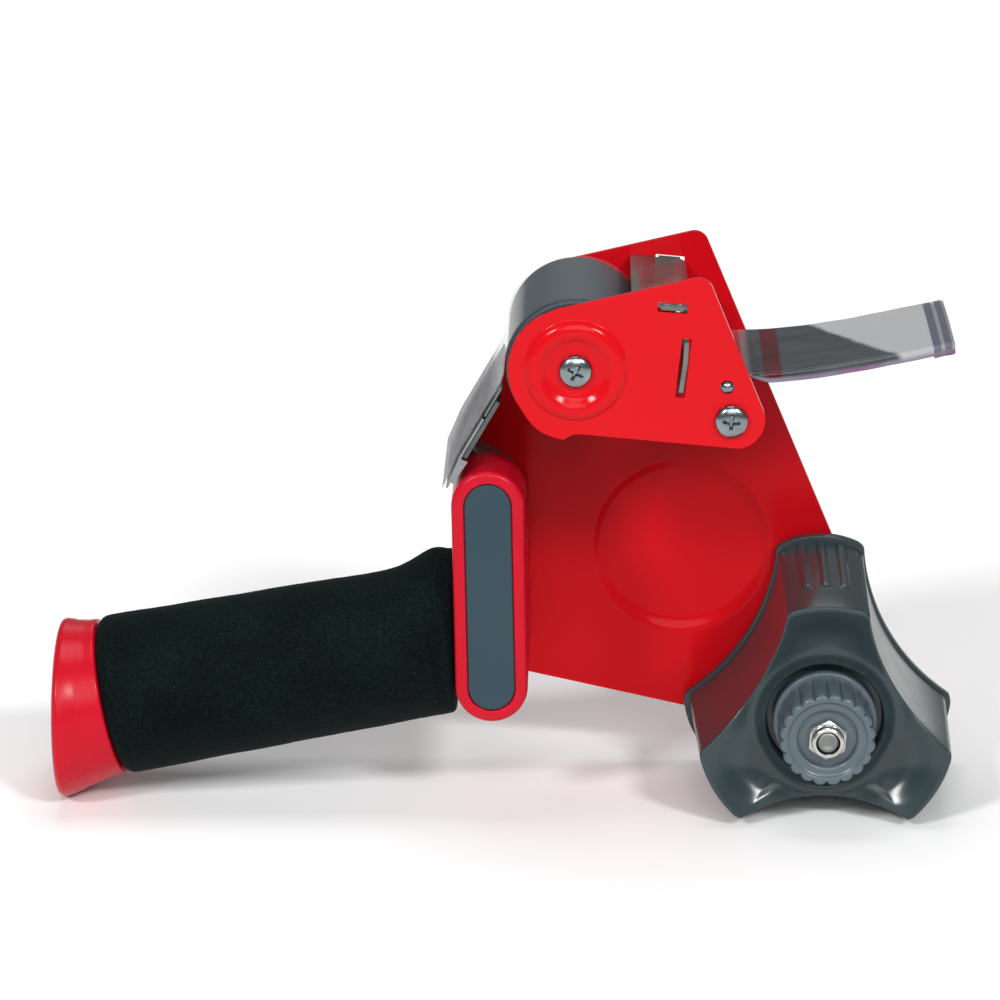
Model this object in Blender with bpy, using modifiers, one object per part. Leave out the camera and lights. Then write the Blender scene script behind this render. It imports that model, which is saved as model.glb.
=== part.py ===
"""Pistol-grip tape gun for 48 mm packing tape on a 3 inch (76 mm) core.

Every length below is in millimetres and is turned into metres by MM.
The gun is drawn in its own drawing frame: X runs from the pommel to the hub,
Y from the near plate to the far plate, Z upwards. At the end the whole gun is
turned by LEAN about Y, so that it stands on its pommel and on one arm of the
hub, and is moved so that its origin is the middle of its footprint.
"""

import math

import bmesh
import bpy
from mathutils import Matrix, Vector

MM = 0.001

# ---------------------------------------------------------------- dimensions
GAP = 0.3                    # clearance between neighbouring solids
SHEET = 1.5                  # side plates
NEAR_OUT, NEAR_IN = -27.3, -25.8      # near plate faces
FAR_IN, FAR_OUT = 26.3, 27.8          # far plate faces

ROLLER_X, ROLLER_Z = 21.2, 45.5
ROLLER_R, ROLLER_CORE_R, ROLLER_BORE_R = 19.0, 14.6, 4.4
ROLLER_HALF = 24.9
AXLE_R, AXLE_BORE_R = 4.1, 2.7

POST_X, POST_Z, POST_R = 63.9, 31.6, 4.0
ROD_X, ROD_Z, ROD_R, ROD_END_R = 62.6, 41.0, 2.0, 1.6
SCREW_SHANK_R, SCREW_HEAD_R, SCREW_HEAD_H = 2.4, 4.55, 2.6

GUIDE_T = 1.2
GUIDE_TOP_A, GUIDE_TOP_B = (43.9, 63.6), (51.7, 62.9)   # the slots for its upper tabs
GUIDE_LIP = (36.3, 64.28)                                # its upper lip reaches further towards the roller
GUIDE_KINK, GUIDE_LOW = (51.1, 48.0), (49.7, 38.0)

HUB_X, HUB_Z = 91.6, -57.4
HUB_ARM_HALF = 18.8          # degrees, half width of an arm at its tip
HUB_TIP_FRONT, HUB_TIP_REAR, HUB_FLANGE = 36.2, 38.1, 39.5
HUB_WAIST = 21.9
HUB_FRONT, HUB_STEP, HUB_REAR = -30.2, 20.8, 24.4
BOLT_R = 3.0
KNOB_R, KNOB_FLANGE_R = 13.4, 14.5
KNOB_FRONT, KNOB_FLANGE_FRONT, KNOB_BACK = -38.2, -22.9, -20.4
NUT_AF = 10.0

GRIP_X, GRIP_Z, GRIP_SLOPE = -12.0, -39.6, 11.2   # where the grip axis leaves the block, degrees
FOAM_R, FOAM_R_END, SPINDLE_R = 22.0, 22.9, 15.4
FOAM_LEN = 100.6
POMMEL_END_X = -125.9
BLOCK_TOP, BLOCK_LOW, BLOCK_R = (-2.9, 6.0), (-1.8, -46.9), 10.1
BLOCK_NEAR, BLOCK_FAR = -26.6, 26.0
INLAY_R = 6.4

BLADE_SLOPE = 60.0           # degrees from horizontal
BRACKET_TOP, BRACKET_LOW = (-0.6, 35.4), (-9.78, 19.5)
TONGUE_BEND, TONGUE_END = (-5.9, 15.6), (3.3, 9.8)
TONGUE_NEAR, TONGUE_FAR = -6.3, 6.6
EDGE_SLOPE = 67.0            # the blade's cutting edge is bent down steeper
FILM_T = 0.4
FILM_HALF = 24.0

LEAN = math.radians(0.384)
LIFT_X, LIFT_Y, LIFT_Z = -1.579, 4.75, 87.5

# ------------------------------------------------------------------- helpers
for old in list(bpy.data.objects):
    bpy.data.objects.remove(old, do_unlink=True)

scene = bpy.context.scene
PARTS = bpy.data.collections.new("tape_gun_dispenser")
CUTTERS = bpy.data.collections.new("cutters")
scene.collection.children.link(PARTS)
scene.collection.children.link(CUTTERS)


def material(name, colour, roughness, metallic=0.0):
    mat = bpy.data.materials.new(name)
    mat.use_nodes = True
    shader = mat.node_tree.nodes["Principled BSDF"]
    shader.inputs["Base Color"].default_value = (*colour, 1.0)
    shader.inputs["Roughness"].default_value = roughness
    shader.inputs["Metallic"].default_value = metallic
    mat.diffuse_color = (*colour, 1.0)
    return mat


PAINT = (0.82, 0.013, 0.022)
RED_PLASTIC = (0.62, 0.012, 0.03)
ZINC = (0.55, 0.57, 0.58)
HUB_GREY = (0.045, 0.065, 0.07)
KNOB_GREY = (0.10, 0.135, 0.155)
RUBBER_GREY = (0.05, 0.075, 0.09)
FOAM_BLACK = (0.004, 0.008, 0.009)


def place(obj, collection=None):
    for other in list(obj.users_collection):
        other.objects.unlink(obj)
    (collection or PARTS).objects.link(obj)
    return obj


def cutter(obj):
    place(obj, CUTTERS)
    obj.hide_render = True
    obj.display_type = "WIRE"
    return obj


def finish(obj, mat, smooth=True, angle=35.0):
    obj.data.materials.clear()
    obj.data.materials.append(mat)
    if smooth:
        obj.data.shade_smooth()
        obj.data.set_sharp_from_angle(angle=math.radians(angle))
    return place(obj)


def arc(cx, cz, r, a0, a1, n):
    return [
        (
            cx + r * math.cos(math.radians(a0 + (a1 - a0) * i / n)),
            cz + r * math.sin(math.radians(a0 + (a1 - a0) * i / n)),
        )
        for i in range(n + 1)
    ]


def rounded(corners, steps=6):
    """Outline through corners (x, z, radius), each corner rounded off."""
    points = []
    n = len(corners)
    for i, (x, z, r) in enumerate(corners):
        here = Vector((x, z))
        if r <= 0:
            points.append((x, z))
            continue
        a = Vector(corners[i - 1][:2]) - here
        b = Vector(corners[(i + 1) % n][:2]) - here
        a.normalize()
        b.normalize()
        half = a.angle(b) / 2
        reach = r / math.tan(half)
        middle = (a + b).normalized() * (r / math.sin(half)) + here
        start = here + a * reach - middle
        end = here + b * reach - middle
        turn = math.atan2(start.x * end.y - start.y * end.x, start.dot(end))
        for k in range(steps + 1):
            t = turn * k / steps
            c, s = math.cos(t), math.sin(t)
            points.append(
                (
                    middle.x + start.x * c - start.y * s,
                    middle.y + start.x * s + start.y * c,
                )
            )
    return points


def curve_mesh(name, loops, y0, y1):
    """Flat outline in XZ, with any holes, extruded from y0 to y1, as a mesh."""
    data = bpy.data.curves.new(name + "_outline", "CURVE")
    data.dimensions = "2D"
    data.fill_mode = "BOTH"
    data.extrude = abs(y1 - y0) / 2 * MM
    for loop in loops:
        line = data.splines.new("POLY")
        line.points.add(len(loop) - 1)
        for point, (x, z) in zip(line.points, loop):
            point.co = (x * MM, z * MM, 0, 1)
        line.use_cyclic_u = True
    guide = bpy.data.objects.new(name + "_outline", data)
    scene.collection.objects.link(guide)
    guide.rotation_euler = (math.pi / 2, 0, 0)
    guide.location = (0, (y0 + y1) / 2 * MM, 0)
    return curve_to_mesh(name, guide)


def curve_to_mesh(name, guide):
    bpy.context.view_layer.update()
    graph = bpy.context.evaluated_depsgraph_get()
    mesh = bpy.data.meshes.new_from_object(guide.evaluated_get(graph))
    matrix = guide.matrix_world.copy()
    bpy.data.objects.remove(guide, do_unlink=True)
    work = bmesh.new()
    work.from_mesh(mesh)
    bmesh.ops.remove_doubles(work, verts=work.verts, dist=1e-6)
    bmesh.ops.recalc_face_normals(work, faces=work.faces)
    work.to_mesh(mesh)
    work.free()
    obj = bpy.data.objects.new(name, mesh)
    obj.matrix_world = matrix
    return place(obj)


def circle(x, z, r, n=24):
    return arc(x, z, r, 0, 360 - 360 / n, n - 1)


def turned(name, profile, x, z, steps=32, axis="Y", origin_y=0.0):
    """Solid of revolution about a line along Y (or X). profile is (radius, position along the
    axis) round the closed section; a section that starts and ends on the axis makes a solid bar."""
    closed = profile[0][0] > 1e-9
    area = 0.0
    for (r0, p0), (r1, p1) in zip(profile, profile[1:] + profile[:1]):
        area += r0 * p1 - r1 * p0
    points = list(profile)
    if area < 0:
        points.reverse()
    mesh = bpy.data.meshes.new(name)
    coords = [(r * MM, 0, -(p - origin_y) * MM) for r, p in points]
    count = len(coords)
    edges = [(i, i + 1) for i in range(count - 1)] + ([(count - 1, 0)] if closed else [])
    mesh.from_pydata(coords, edges, [])
    obj = bpy.data.objects.new(name, mesh)
    screw = obj.modifiers.new("turn", "SCREW")
    screw.steps = steps
    screw.render_steps = steps
    screw.use_merge_vertices = True
    screw.merge_threshold = 1e-6
    screw.use_smooth_shade = False
    weld = obj.modifiers.new("weld", "WELD")
    weld.merge_threshold = 1e-6
    if axis == "Y":
        obj.rotation_euler = (math.pi / 2, 0, 0)
        obj.location = (x * MM, origin_y * MM, z * MM)
    place(obj)
    bpy.context.view_layer.update()
    graph = bpy.context.evaluated_depsgraph_get()
    solid = bpy.data.meshes.new_from_object(obj.evaluated_get(graph))
    obj.modifiers.clear()
    obj.data = solid
    work = bmesh.new()
    work.from_mesh(solid)
    bmesh.ops.remove_doubles(work, verts=work.verts, dist=1e-6)
    bmesh.ops.recalc_face_normals(work, faces=work.faces)
    work.to_mesh(solid)
    work.free()
    return obj


def cylinder(name, r, y0, y1, x, z, n=24):
    bpy.ops.mesh.primitive_cylinder_add(
        vertices=n,
        radius=r * MM,
        depth=abs(y1 - y0) * MM,
        location=(x * MM, (y0 + y1) / 2 * MM, z * MM),
        rotation=(math.pi / 2, 0, 0),
    )
    obj = bpy.context.object
    obj.name = name
    return place(obj)


def box(name, x0, x1, y0, y1, z0, z1):
    bpy.ops.mesh.primitive_cube_add(size=1.0)
    obj = bpy.context.object
    obj.name = name
    obj.data.transform(
        Matrix.Translation(((x0 + x1) / 2 * MM, (y0 + y1) / 2 * MM, (z0 + z1) / 2 * MM))
        @ Matrix.Diagonal(((x1 - x0) * MM, (y1 - y0) * MM, (z1 - z0) * MM, 1))
    )
    return place(obj)


def boolean(obj, other, operation):
    """Cut or join with the EXACT solver, and keep the result as the object's mesh."""
    bpy.context.view_layer.update()
    step = obj.modifiers.new(operation.lower(), "BOOLEAN")
    step.operation = operation
    step.solver = "EXACT"
    step.object = other
    bpy.context.view_layer.update()
    graph = bpy.context.evaluated_depsgraph_get()
    mesh = bpy.data.meshes.new_from_object(obj.evaluated_get(graph))
    obj.modifiers.clear()
    obj.data = mesh
    bpy.data.objects.remove(other, do_unlink=True)
    return obj


def cut(obj, other):
    return boolean(obj, other, "DIFFERENCE")


def join(obj, other):
    return boolean(obj, other, "UNION")


def sheet_path(name, points, thickness, y0, y1):
    """A bent sheet: its middle line (x, z) offset to both sides and extruded along Y."""
    left, right = [], []
    for i, (x, z) in enumerate(points):
        before = Vector(points[max(i - 1, 0)])
        after = Vector(points[min(i + 1, len(points) - 1)])
        here = Vector((x, z))
        d0 = (here - before).normalized() if i else (after - here).normalized()
        d1 = (after - here).normalized() if i < len(points) - 1 else d0
        mid = (d0 + d1).normalized()
        normal = Vector((-mid.y, mid.x))
        spread = thickness / 2 / max(0.4, mid.dot(d0))
        left.append(tuple(here + normal * spread))
        right.append(tuple(here - normal * spread))
    return curve_mesh(name, [left + right[::-1]], y0, y1)


# --------------------------------------------------------------- materials
M_PAINT = material("red_paint", PAINT, 0.22)
M_PLASTIC = material("red_plastic", RED_PLASTIC, 0.35)
M_ZINC = material("zinc", ZINC, 0.28, 1.0)
M_STEEL = material("steel", (0.42, 0.43, 0.44), 0.32, 1.0)
M_RUBBER = material("roller_rubber", RUBBER_GREY, 0.5)
M_CORE = material("core_plastic", (0.5, 0.5, 0.48), 0.45)
M_HUB = material("hub_plastic", HUB_GREY, 0.25)
M_KNOB = material("knob_plastic", KNOB_GREY, 0.3)
M_INLAY = material("inlay_grey", (0.052, 0.088, 0.112), 0.45)
M_FOAM = material("foam", FOAM_BLACK, 0.9)
M_FIBRE = material("fibre", (0.16, 0.1, 0.06), 0.7)
M_WIPER = material("wiper", (0.02, 0.02, 0.022), 0.5)
M_FILM = material("clear_film", (0.8, 0.82, 0.84), 0.1)
M_NYLON = material("nut", (0.5, 0.52, 0.5), 0.3, 1.0)

# ------------------------------------------------------------- side plates
TOP_CORNER = (56.9, 72.4, 4.2)
SHOULDER = [(5.1, 54.8), (7.4, 57.6), (10.4, 60.2), (15.9, 62.6)]


def head_arc(start, end, n):
    """The plate's nose round the roller axle: a little inside the roller, fuller at the bottom."""
    points = []
    for i in range(n + 1):
        a = start + (end - start) * i / n
        t = min(1.0, max(0.0, (a - 212.0) / 33.0))
        r = 18.45 + 1.45 * t * t * (3 - 2 * t)
        points.append((ROLLER_X + r * math.cos(math.radians(a)), ROLLER_Z + r * math.sin(math.radians(a))))
    return points


def plate_holes(n=20):
    ring = [
        circle(ROLLER_X, ROLLER_Z, SCREW_SHANK_R + GAP, n),
        circle(POST_X, POST_Z, SCREW_SHANK_R + GAP, n),
        circle(ROD_X, ROD_Z, ROD_END_R + GAP, 14),
    ]
    half = GUIDE_T / 2 + 0.5
    ax, az = GUIDE_TOP_A
    bx, bz = GUIDE_TOP_B
    d = Vector((bx - ax, bz - az)).normalized()
    nrm = Vector((-d.y, d.x))
    a = Vector((ax, az)) - d * 0.4
    b = Vector((bx, bz)) - d * 0.2
    ring.append([tuple(p) for p in (a + nrm * half, a - nrm * half, b - nrm * half, b + nrm * half)])
    k = Vector(GUIDE_KINK)
    lo = Vector(GUIDE_LOW)
    hi = Vector((51.55, 54.6))
    d = (hi - lo).normalized()
    nrm = Vector((-d.y, d.x))
    lo = lo + d * 0.0
    ring.append([tuple(p) for p in (hi + nrm * half, lo + nrm * half, lo - nrm * half, hi - nrm * half)])
    return ring


# rounded top corner, arc round the post, notch in the lower edge, nose round the roller, shoulder
near_outline = (
    [p for p in rounded([(15.9, 62.3, 0.0), TOP_CORNER, (72.7, 33.5, 0.0)], 6)][1:8]
    + arc(64.8, 31.7, 8.3, 20, -80, 7)
    + [(22.5, 27.45), (20.7, 27.3), (18.9, 26.4), (18.3, 25.85), (17.7, 25.8)]
    + head_arc(257, 155, 15)
    + SHOULDER
)
near_plate = curve_mesh("near_plate", [near_outline] + plate_holes(), NEAR_OUT, NEAR_IN)
# ring bead pressed outwards round the roller screw
BEAD_OUTER = [(14.8, -27.0), (13.6, -27.9), (12.0, -28.7), (10.2, -28.95), (8.4, -28.7), (6.9, -27.9), (5.9, -27.0)]
bead = turned("bead", BEAD_OUTER + [(5.9, -26.3), (14.8, -26.3)], ROLLER_X, ROLLER_Z, 40)
join(near_plate, bead)
BEAD_INNER = [(13.6, -25.3), (13.0, -26.2), (11.8, -27.1), (10.2, -27.4), (8.6, -27.1), (7.6, -26.2), (7.1, -25.3)]
hollow = turned("bead_hollow", BEAD_INNER, ROLLER_X, ROLLER_Z, 40)
cut(near_plate, hollow)
finish(near_plate, M_PAINT, angle=30)

far_outline = (
    rounded(
        [
            (15.9, 62.3, 0.0),
            TOP_CORNER,
            (124.0, -86.2, 20.0),
            (-13.4, -55.5, 5.0),
            (-13.4, 9.0, 6.0),
            (3.4, 41.0, 0.0),
        ],
        7,
    )[1:-1]
    + head_arc(194, 155, 5)
    + SHOULDER
)
DISH_X, DISH_Z = 51.6, -21.4
far_holes = plate_holes() + [
    circle(HUB_X, HUB_Z, 4.0 + GAP, 24),
    circle(-2.8, -1.5, SCREW_SHANK_R + GAP, 20),
    circle(-2.0, -40.0, SCREW_SHANK_R + GAP, 20),
]
frame_plate = curve_mesh("frame_plate", [far_outline] + far_holes, FAR_IN, FAR_OUT)
# wide shallow dish pressed backwards beside the tape roll
boss = turned("dish_back", [(0, 27.0), (26.6, 27.0), (26.6, 27.6), (24.8, 29.2), (0, 29.2)], DISH_X, DISH_Z, 44)
join(frame_plate, boss)
dish = turned("dish_front", [(0, 25.0), (25.6, 25.0), (25.6, 26.2), (23.8, 27.7), (0, 27.7)], DISH_X, DISH_Z, 44)
cut(frame_plate, dish)
finish(frame_plate, M_PAINT, angle=30)

# ------------------------------------------------------- applicator roller
roller_tire = turned(
    "roller_tire",
    [
        (ROLLER_CORE_R + GAP, -ROLLER_HALF),
        (ROLLER_R - 0.8, -ROLLER_HALF),
        (ROLLER_R, -ROLLER_HALF + 0.8),
        (ROLLER_R, ROLLER_HALF - 0.8),
        (ROLLER_R - 0.8, ROLLER_HALF),
        (ROLLER_CORE_R + GAP, ROLLER_HALF),
    ],
    ROLLER_X,
    ROLLER_Z,
    48,
)
finish(roller_tire, M_RUBBER)
roller_core = turned(
    "roller_core",
    [
        (ROLLER_BORE_R, -ROLLER_HALF - 0.4),
        (7.0, -ROLLER_HALF - 0.4),
        (7.0, -ROLLER_HALF + 2.0),
        (12.2, -ROLLER_HALF + 2.0),
        (12.2, -ROLLER_HALF),
        (ROLLER_CORE_R, -ROLLER_HALF),
        (ROLLER_CORE_R, ROLLER_HALF),
        (12.2, ROLLER_HALF),
        (12.2, ROLLER_HALF - 2.0),
        (7.0, ROLLER_HALF - 2.0),
        (7.0, ROLLER_HALF + 0.4),
        (ROLLER_BORE_R, ROLLER_HALF + 0.4),
    ],
    ROLLER_X,
    ROLLER_Z,
    36,
)
finish(roller_core, M_CORE)


def spacer(name, x, z, r):
    tube = turned(
        name,
        [(AXLE_BORE_R, NEAR_IN + GAP), (r, NEAR_IN + GAP), (r, FAR_IN - GAP), (AXLE_BORE_R, FAR_IN - GAP)],
        x,
        z,
        28,
    )
    return finish(tube, M_STEEL)


spacer("axle_tube", ROLLER_X, ROLLER_Z, AXLE_R)
spacer("spacer_post", POST_X, POST_Z, POST_R)


def screw(name, x, z, seat, way, shank=12.0, driver=True):
    """Pan head screw whose head stands on the face at seat and whose shank runs along way."""
    face = seat - way * GAP
    profile = [(0.0, face - way * SCREW_HEAD_H)]
    for k in range(1, 6):
        t = k / 5
        profile.append((SCREW_HEAD_R * math.sin(t * math.pi / 2) ** 0.8, face - way * (SCREW_HEAD_H - 1.8 * (1 - math.cos(t * math.pi / 2)))))
    profile += [
        (SCREW_HEAD_R, face),
        (SCREW_SHANK_R, face),
        (SCREW_SHANK_R, seat + way * (shank - 1.0)),
        (SCREW_SHANK_R - 0.8, seat + way * shank),
        (0.0, seat + way * shank),
    ]
    body = turned(name, profile, x, z, 24)
    if driver:
        top = face - way * SCREW_HEAD_H
        for turn in (0, 90):
            slot = box(
                name + "_slot", -2.3, 2.3, min(top - way * 2, top + way * 1.2), max(top - way * 2, top + way * 1.2), -0.45, 0.45
            )
            slot.matrix_world = Matrix.Translation((x * MM, 0, z * MM)) @ Matrix.Rotation(math.radians(turn + 20), 4, "Y")
            cut(body, slot)
    return finish(body, M_ZINC)


screw("axle_screw_near", ROLLER_X, ROLLER_Z, NEAR_OUT, 1)
screw("axle_screw_far", ROLLER_X, ROLLER_Z, FAR_OUT, -1)
screw("post_screw_near", POST_X, POST_Z, NEAR_OUT, 1)
screw("post_screw_far", POST_X, POST_Z, FAR_OUT, -1)
screw("handle_screw_top", -2.8, -1.5, FAR_OUT, -1, 13.0)
screw("handle_screw_bottom", -2.0, -40.0, FAR_OUT, -1, 13.0)

guide_rod = turned(
    "guide_rod",
    [
        (0, NEAR_OUT - 0.9),
        (0.9, NEAR_OUT - 0.8),
        (ROD_END_R, NEAR_OUT - 0.3),
        (ROD_END_R, NEAR_IN + GAP),
        (ROD_R, NEAR_IN + GAP),
        (ROD_R, FAR_IN - GAP),
        (ROD_END_R, FAR_IN - GAP),
        (ROD_END_R, FAR_OUT + 0.3),
        (0.9, FAR_OUT + 0.8),
        (0, FAR_OUT + 0.9),
    ],
    ROD_X,
    ROD_Z,
    16,
)
finish(guide_rod, M_STEEL)

# guide plate: one bent sheet between the plates, a tab at the top and one on the web
guide_line = [GUIDE_LIP, (50.6, 63.0), (51.45, 62.4), (51.6, 61.6), GUIDE_KINK, (49.83, 38.9)]
guide_plate = sheet_path("guide_plate", guide_line, GUIDE_T, NEAR_IN + GAP, FAR_IN - GAP)
for y0, y1 in ((NEAR_OUT - 0.5, -20.0), (20.0, FAR_OUT + 0.5)):
    join(guide_plate, sheet_path("tab_top", [(44.3, 63.56), (50.4, 63.02)], GUIDE_T, y0, y1))
    join(guide_plate, sheet_path("tab_web", [(51.4, 53.6), GUIDE_KINK, (49.95, 39.6)], GUIDE_T, y0, y1))
finish(guide_plate, M_ZINC)

# ------------------------------------------------------------ handle group
block_axis = Vector(BLOCK_TOP) - Vector(BLOCK_LOW)
block_turn = math.degrees(math.atan2(block_axis.y, block_axis.x))


def stadium(r, n=14):
    return arc(BLOCK_TOP[0], BLOCK_TOP[1], r, block_turn - 90, block_turn + 90, n) + arc(
        BLOCK_LOW[0], BLOCK_LOW[1], r, block_turn + 90, block_turn + 270, n
    )


def along_grip(s, y=0.0, up=0.0):
    c, k = math.cos(math.radians(GRIP_SLOPE)), math.sin(math.radians(GRIP_SLOPE))
    return Vector(((GRIP_X - s * c - up * k) * MM, y * MM, (GRIP_Z - s * k + up * c) * MM))


def loft(name, rings):
    """Closed solid through rings of equal count, capped at both ends."""
    mesh = bpy.data.meshes.new(name)
    work = bmesh.new()
    loops = [[work.verts.new(p) for p in ring] for ring in rings]
    n = len(loops[0])
    for a, b in zip(loops, loops[1:]):
        for i in range(n):
            work.faces.new((a[i], a[(i + 1) % n], b[(i + 1) % n], b[i]))
    work.faces.new(loops[0][::-1])
    work.faces.new(loops[-1])
    bmesh.ops.recalc_face_normals(work, faces=work.faces)
    work.to_mesh(mesh)
    work.free()
    obj = bpy.data.objects.new(name, mesh)
    return place(obj)


def grip_ring(s, r, n=32):
    return [along_grip(s, r * math.cos(2 * math.pi * i / n), r * math.sin(2 * math.pi * i / n)) for i in range(n)]


handle_body = curve_mesh("handle_body", [stadium(BLOCK_R)], BLOCK_NEAR, BLOCK_FAR)
join(handle_body, loft("spindle", [grip_ring(-6, SPINDLE_R), grip_ring(FOAM_LEN + 12.0, SPINDLE_R)]))
# the foam's inner support is hollow from the pommel end
cut(handle_body, loft("spindle_hollow", [grip_ring(8, SPINDLE_R - 3.0), grip_ring(FOAM_LEN + 20.0, SPINDLE_R - 3.0)]))
# seat for the inlay
cut(handle_body, curve_mesh("inlay_seat", [stadium(INLAY_R + GAP)], BLOCK_NEAR - 5, BLOCK_NEAR + 1.5))
# the crown is cut down behind its near end, where the bracket's tongue runs down to the right
tongue_dir = (Vector(TONGUE_END) - Vector(TONGUE_BEND)).normalized()
tongue_normal = Vector((-tongue_dir.y, tongue_dir.x))
seat_a = Vector(TONGUE_BEND) - tongue_dir * 16 - tongue_normal * (0.6 + GAP)
seat_b = Vector(TONGUE_BEND) + tongue_dir * 30 - tongue_normal * (0.6 + GAP)
seat_poly = [tuple(seat_a), tuple(seat_b), tuple(seat_b + tongue_normal * 30), tuple(seat_a + tongue_normal * 30)]
cut(handle_body, curve_mesh("crown_cut", [seat_poly], TONGUE_NEAR - 0.9, BLOCK_FAR + 6))
# and steps down again behind the tongue's far edge
step_a, step_b = seat_a - tongue_normal * 5.4, seat_b - tongue_normal * 5.4
step_poly = [tuple(step_a), tuple(step_b), tuple(step_b + tongue_normal * 30), tuple(step_a + tongue_normal * 30)]
cut(handle_body, curve_mesh("crown_step", [step_poly], TONGUE_FAR + 0.4, BLOCK_FAR + 6))
for name, x, z in (("top", -2.8, -1.5), ("low", -2.0, -40.0)):
    cut(handle_body, cylinder(name + "_hole", SCREW_SHANK_R + GAP, 14.0, 40.0, x, z, 20))
screw_at = Vector(TONGUE_BEND) + tongue_dir * 7.4
hole_axis = Matrix.Rotation(math.atan2(tongue_normal.x, tongue_normal.y), 4, "Y")


def across_tongue(obj):
    obj.matrix_world = Matrix.Translation((screw_at.x * MM, -2.6 * MM, screw_at.y * MM)) @ hole_axis
    return obj


def upright(name, profile, steps=20):
    """Solid of revolution about its own Z, profile (radius, height)."""
    obj = turned(name, [(r, -h) for r, h in profile], 0, 0, steps, axis="Z")
    return obj


pocket = upright("bracket_hole", [(0, -9.0), (1.9, -9.0), (1.9, 2.0), (0, 2.0)])
across_tongue(pocket)
cut(handle_body, pocket)
finish(handle_body, M_PLASTIC)

grip_inlay = curve_mesh("grip_inlay", [stadium(INLAY_R)], BLOCK_NEAR + 0.2, BLOCK_NEAR + 1.2)
finish(grip_inlay, M_INLAY)

foam_grip = loft(
    "foam_grip",
    [
        grip_ring(-2.0, FOAM_R + 0.4),
        grip_ring(4.0, FOAM_R + 0.4),
        grip_ring(10.0, FOAM_R),
        grip_ring(FOAM_LEN, FOAM_R_END),
    ],
)
cut(foam_grip, loft("foam_bore", [grip_ring(-12, SPINDLE_R + GAP), grip_ring(FOAM_LEN + 6, SPINDLE_R + GAP)]))
# its right end is trimmed to the side of the block
side = Vector((-block_axis.normalized().y, block_axis.normalized().x)) * (BLOCK_R + 0.4)
trim_low = Vector(BLOCK_LOW) + side - block_axis.normalized() * 60
trim_top = Vector(BLOCK_TOP) + side + block_axis.normalized() * 60
cut(
    foam_grip,
    curve_mesh("foam_trim", [[tuple(trim_low), tuple(trim_low + Vector((60, 0))), tuple(trim_top + Vector((60, 0))), tuple(trim_top)]], -40, 40),
)
finish(foam_grip, M_FOAM)

# pommel: starts square to the grip axis and ends in an upright face
POMMEL_START = FOAM_LEN + GAP
c11, s11 = math.cos(math.radians(GRIP_SLOPE)), math.sin(math.radians(GRIP_SLOPE))


def pommel_ring(t, r, n=32):
    """t runs from 0, square to the axis, to 1, upright at the end face."""
    start = along_grip(POMMEL_START)
    length = (start.x / MM - POMMEL_END_X)
    centre = Vector((start.x - length * t * MM, 0, start.z - (length * t * s11 / c11 + 1.2 * t) * MM))
    tilt = math.radians(GRIP_SLOPE) * (1 - t)
    ring = []
    for i in range(n):
        a = 2 * math.pi * i / n
        up = r * math.sin(a)
        ring.append(centre + Vector((-up * math.sin(tilt), r * math.cos(a), up * math.cos(tilt))) * MM)
    return ring


POMMEL_PROFILE = ((0.0, 22.3), (0.25, 22.8), (0.5, 23.7), (0.68, 24.8), (0.8, 25.5), (0.9, 25.4), (0.97, 24.6), (1.0, 22.9))
pommel = loft("pommel", [pommel_ring(t, r) for t, r in POMMEL_PROFILE])
cut(pommel, loft("pommel_socket", [grip_ring(FOAM_LEN - 6, SPINDLE_R + GAP), grip_ring(FOAM_LEN + 12.4, SPINDLE_R + GAP)]))
finish(pommel, M_PLASTIC, angle=50)

# ----------------------------------------------------------- blade group
slope = Vector((math.cos(math.radians(BLADE_SLOPE)), math.sin(math.radians(BLADE_SLOPE))))
out = Vector((-slope.y, slope.x))          # to the upper left, away from the gun
bt = Vector(BRACKET_TOP)
bl = Vector(BRACKET_LOW)
blade_bracket = sheet_path("blade_bracket", [tuple(bt - out * 0.6), tuple(bl - out * 0.6)], 1.2, -23.0, 23.0)
tongue = sheet_path("tongue", [tuple(bl - out * 0.6 + slope * 0.9), tuple(bl - out * 0.62 - slope * 0.15), TONGUE_BEND, TONGUE_END], 1.2, TONGUE_NEAR, TONGUE_FAR)
join(blade_bracket, tongue)
hole = upright("tongue_hole", [(0, -4.0), (1.9, -4.0), (1.9, 4.0), (0, 4.0)])
across_tongue(hole)
cut(blade_bracket, hole)


def across_blade(obj, s, y):
    spot = bl + slope * s
    obj.matrix_world = Matrix.Translation((spot.x * MM, y * MM, spot.y * MM)) @ Matrix.Rotation(
        math.atan2(out.x, out.y), 4, "Y"
    )
    return obj


RIVET_S, RIVET_Y = 6.4, 14.0
for y in (-RIVET_Y, RIVET_Y):
    drill = upright("rivet_hole", [(0, -6.0), (1.5, -6.0), (1.5, 6.0), (0, 6.0)], 14)
    across_blade(drill, RIVET_S, y)
    cut(blade_bracket, drill)
finish(blade_bracket, M_ZINC)

bracket_screw = upright(
    "bracket_screw",
    [(0, -8.0), (1.0, -8.0), (1.6, -7.0), (1.6, 0.9), (2.7, 0.9), (2.7, 1.3), (2.0, 1.7), (1.0, 1.9), (0, 1.9)],
)
across_tongue(bracket_screw)
finish(bracket_screw, M_ZINC)

# blade: flat strip against the bracket's outer face, teeth along its lower edge, an ear at each end
BLADE_T, BLADE_TOP, BLADE_LOW = 0.6, 12.4, -8.6
TEETH, TOOTH = 24, 1.6
mid = bl + out * (GAP + BLADE_T / 2)
edge_dir = Vector((math.cos(math.radians(EDGE_SLOPE)), math.sin(math.radians(EDGE_SLOPE))))
edge_out = Vector((-edge_dir.y, edge_dir.x))


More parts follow.
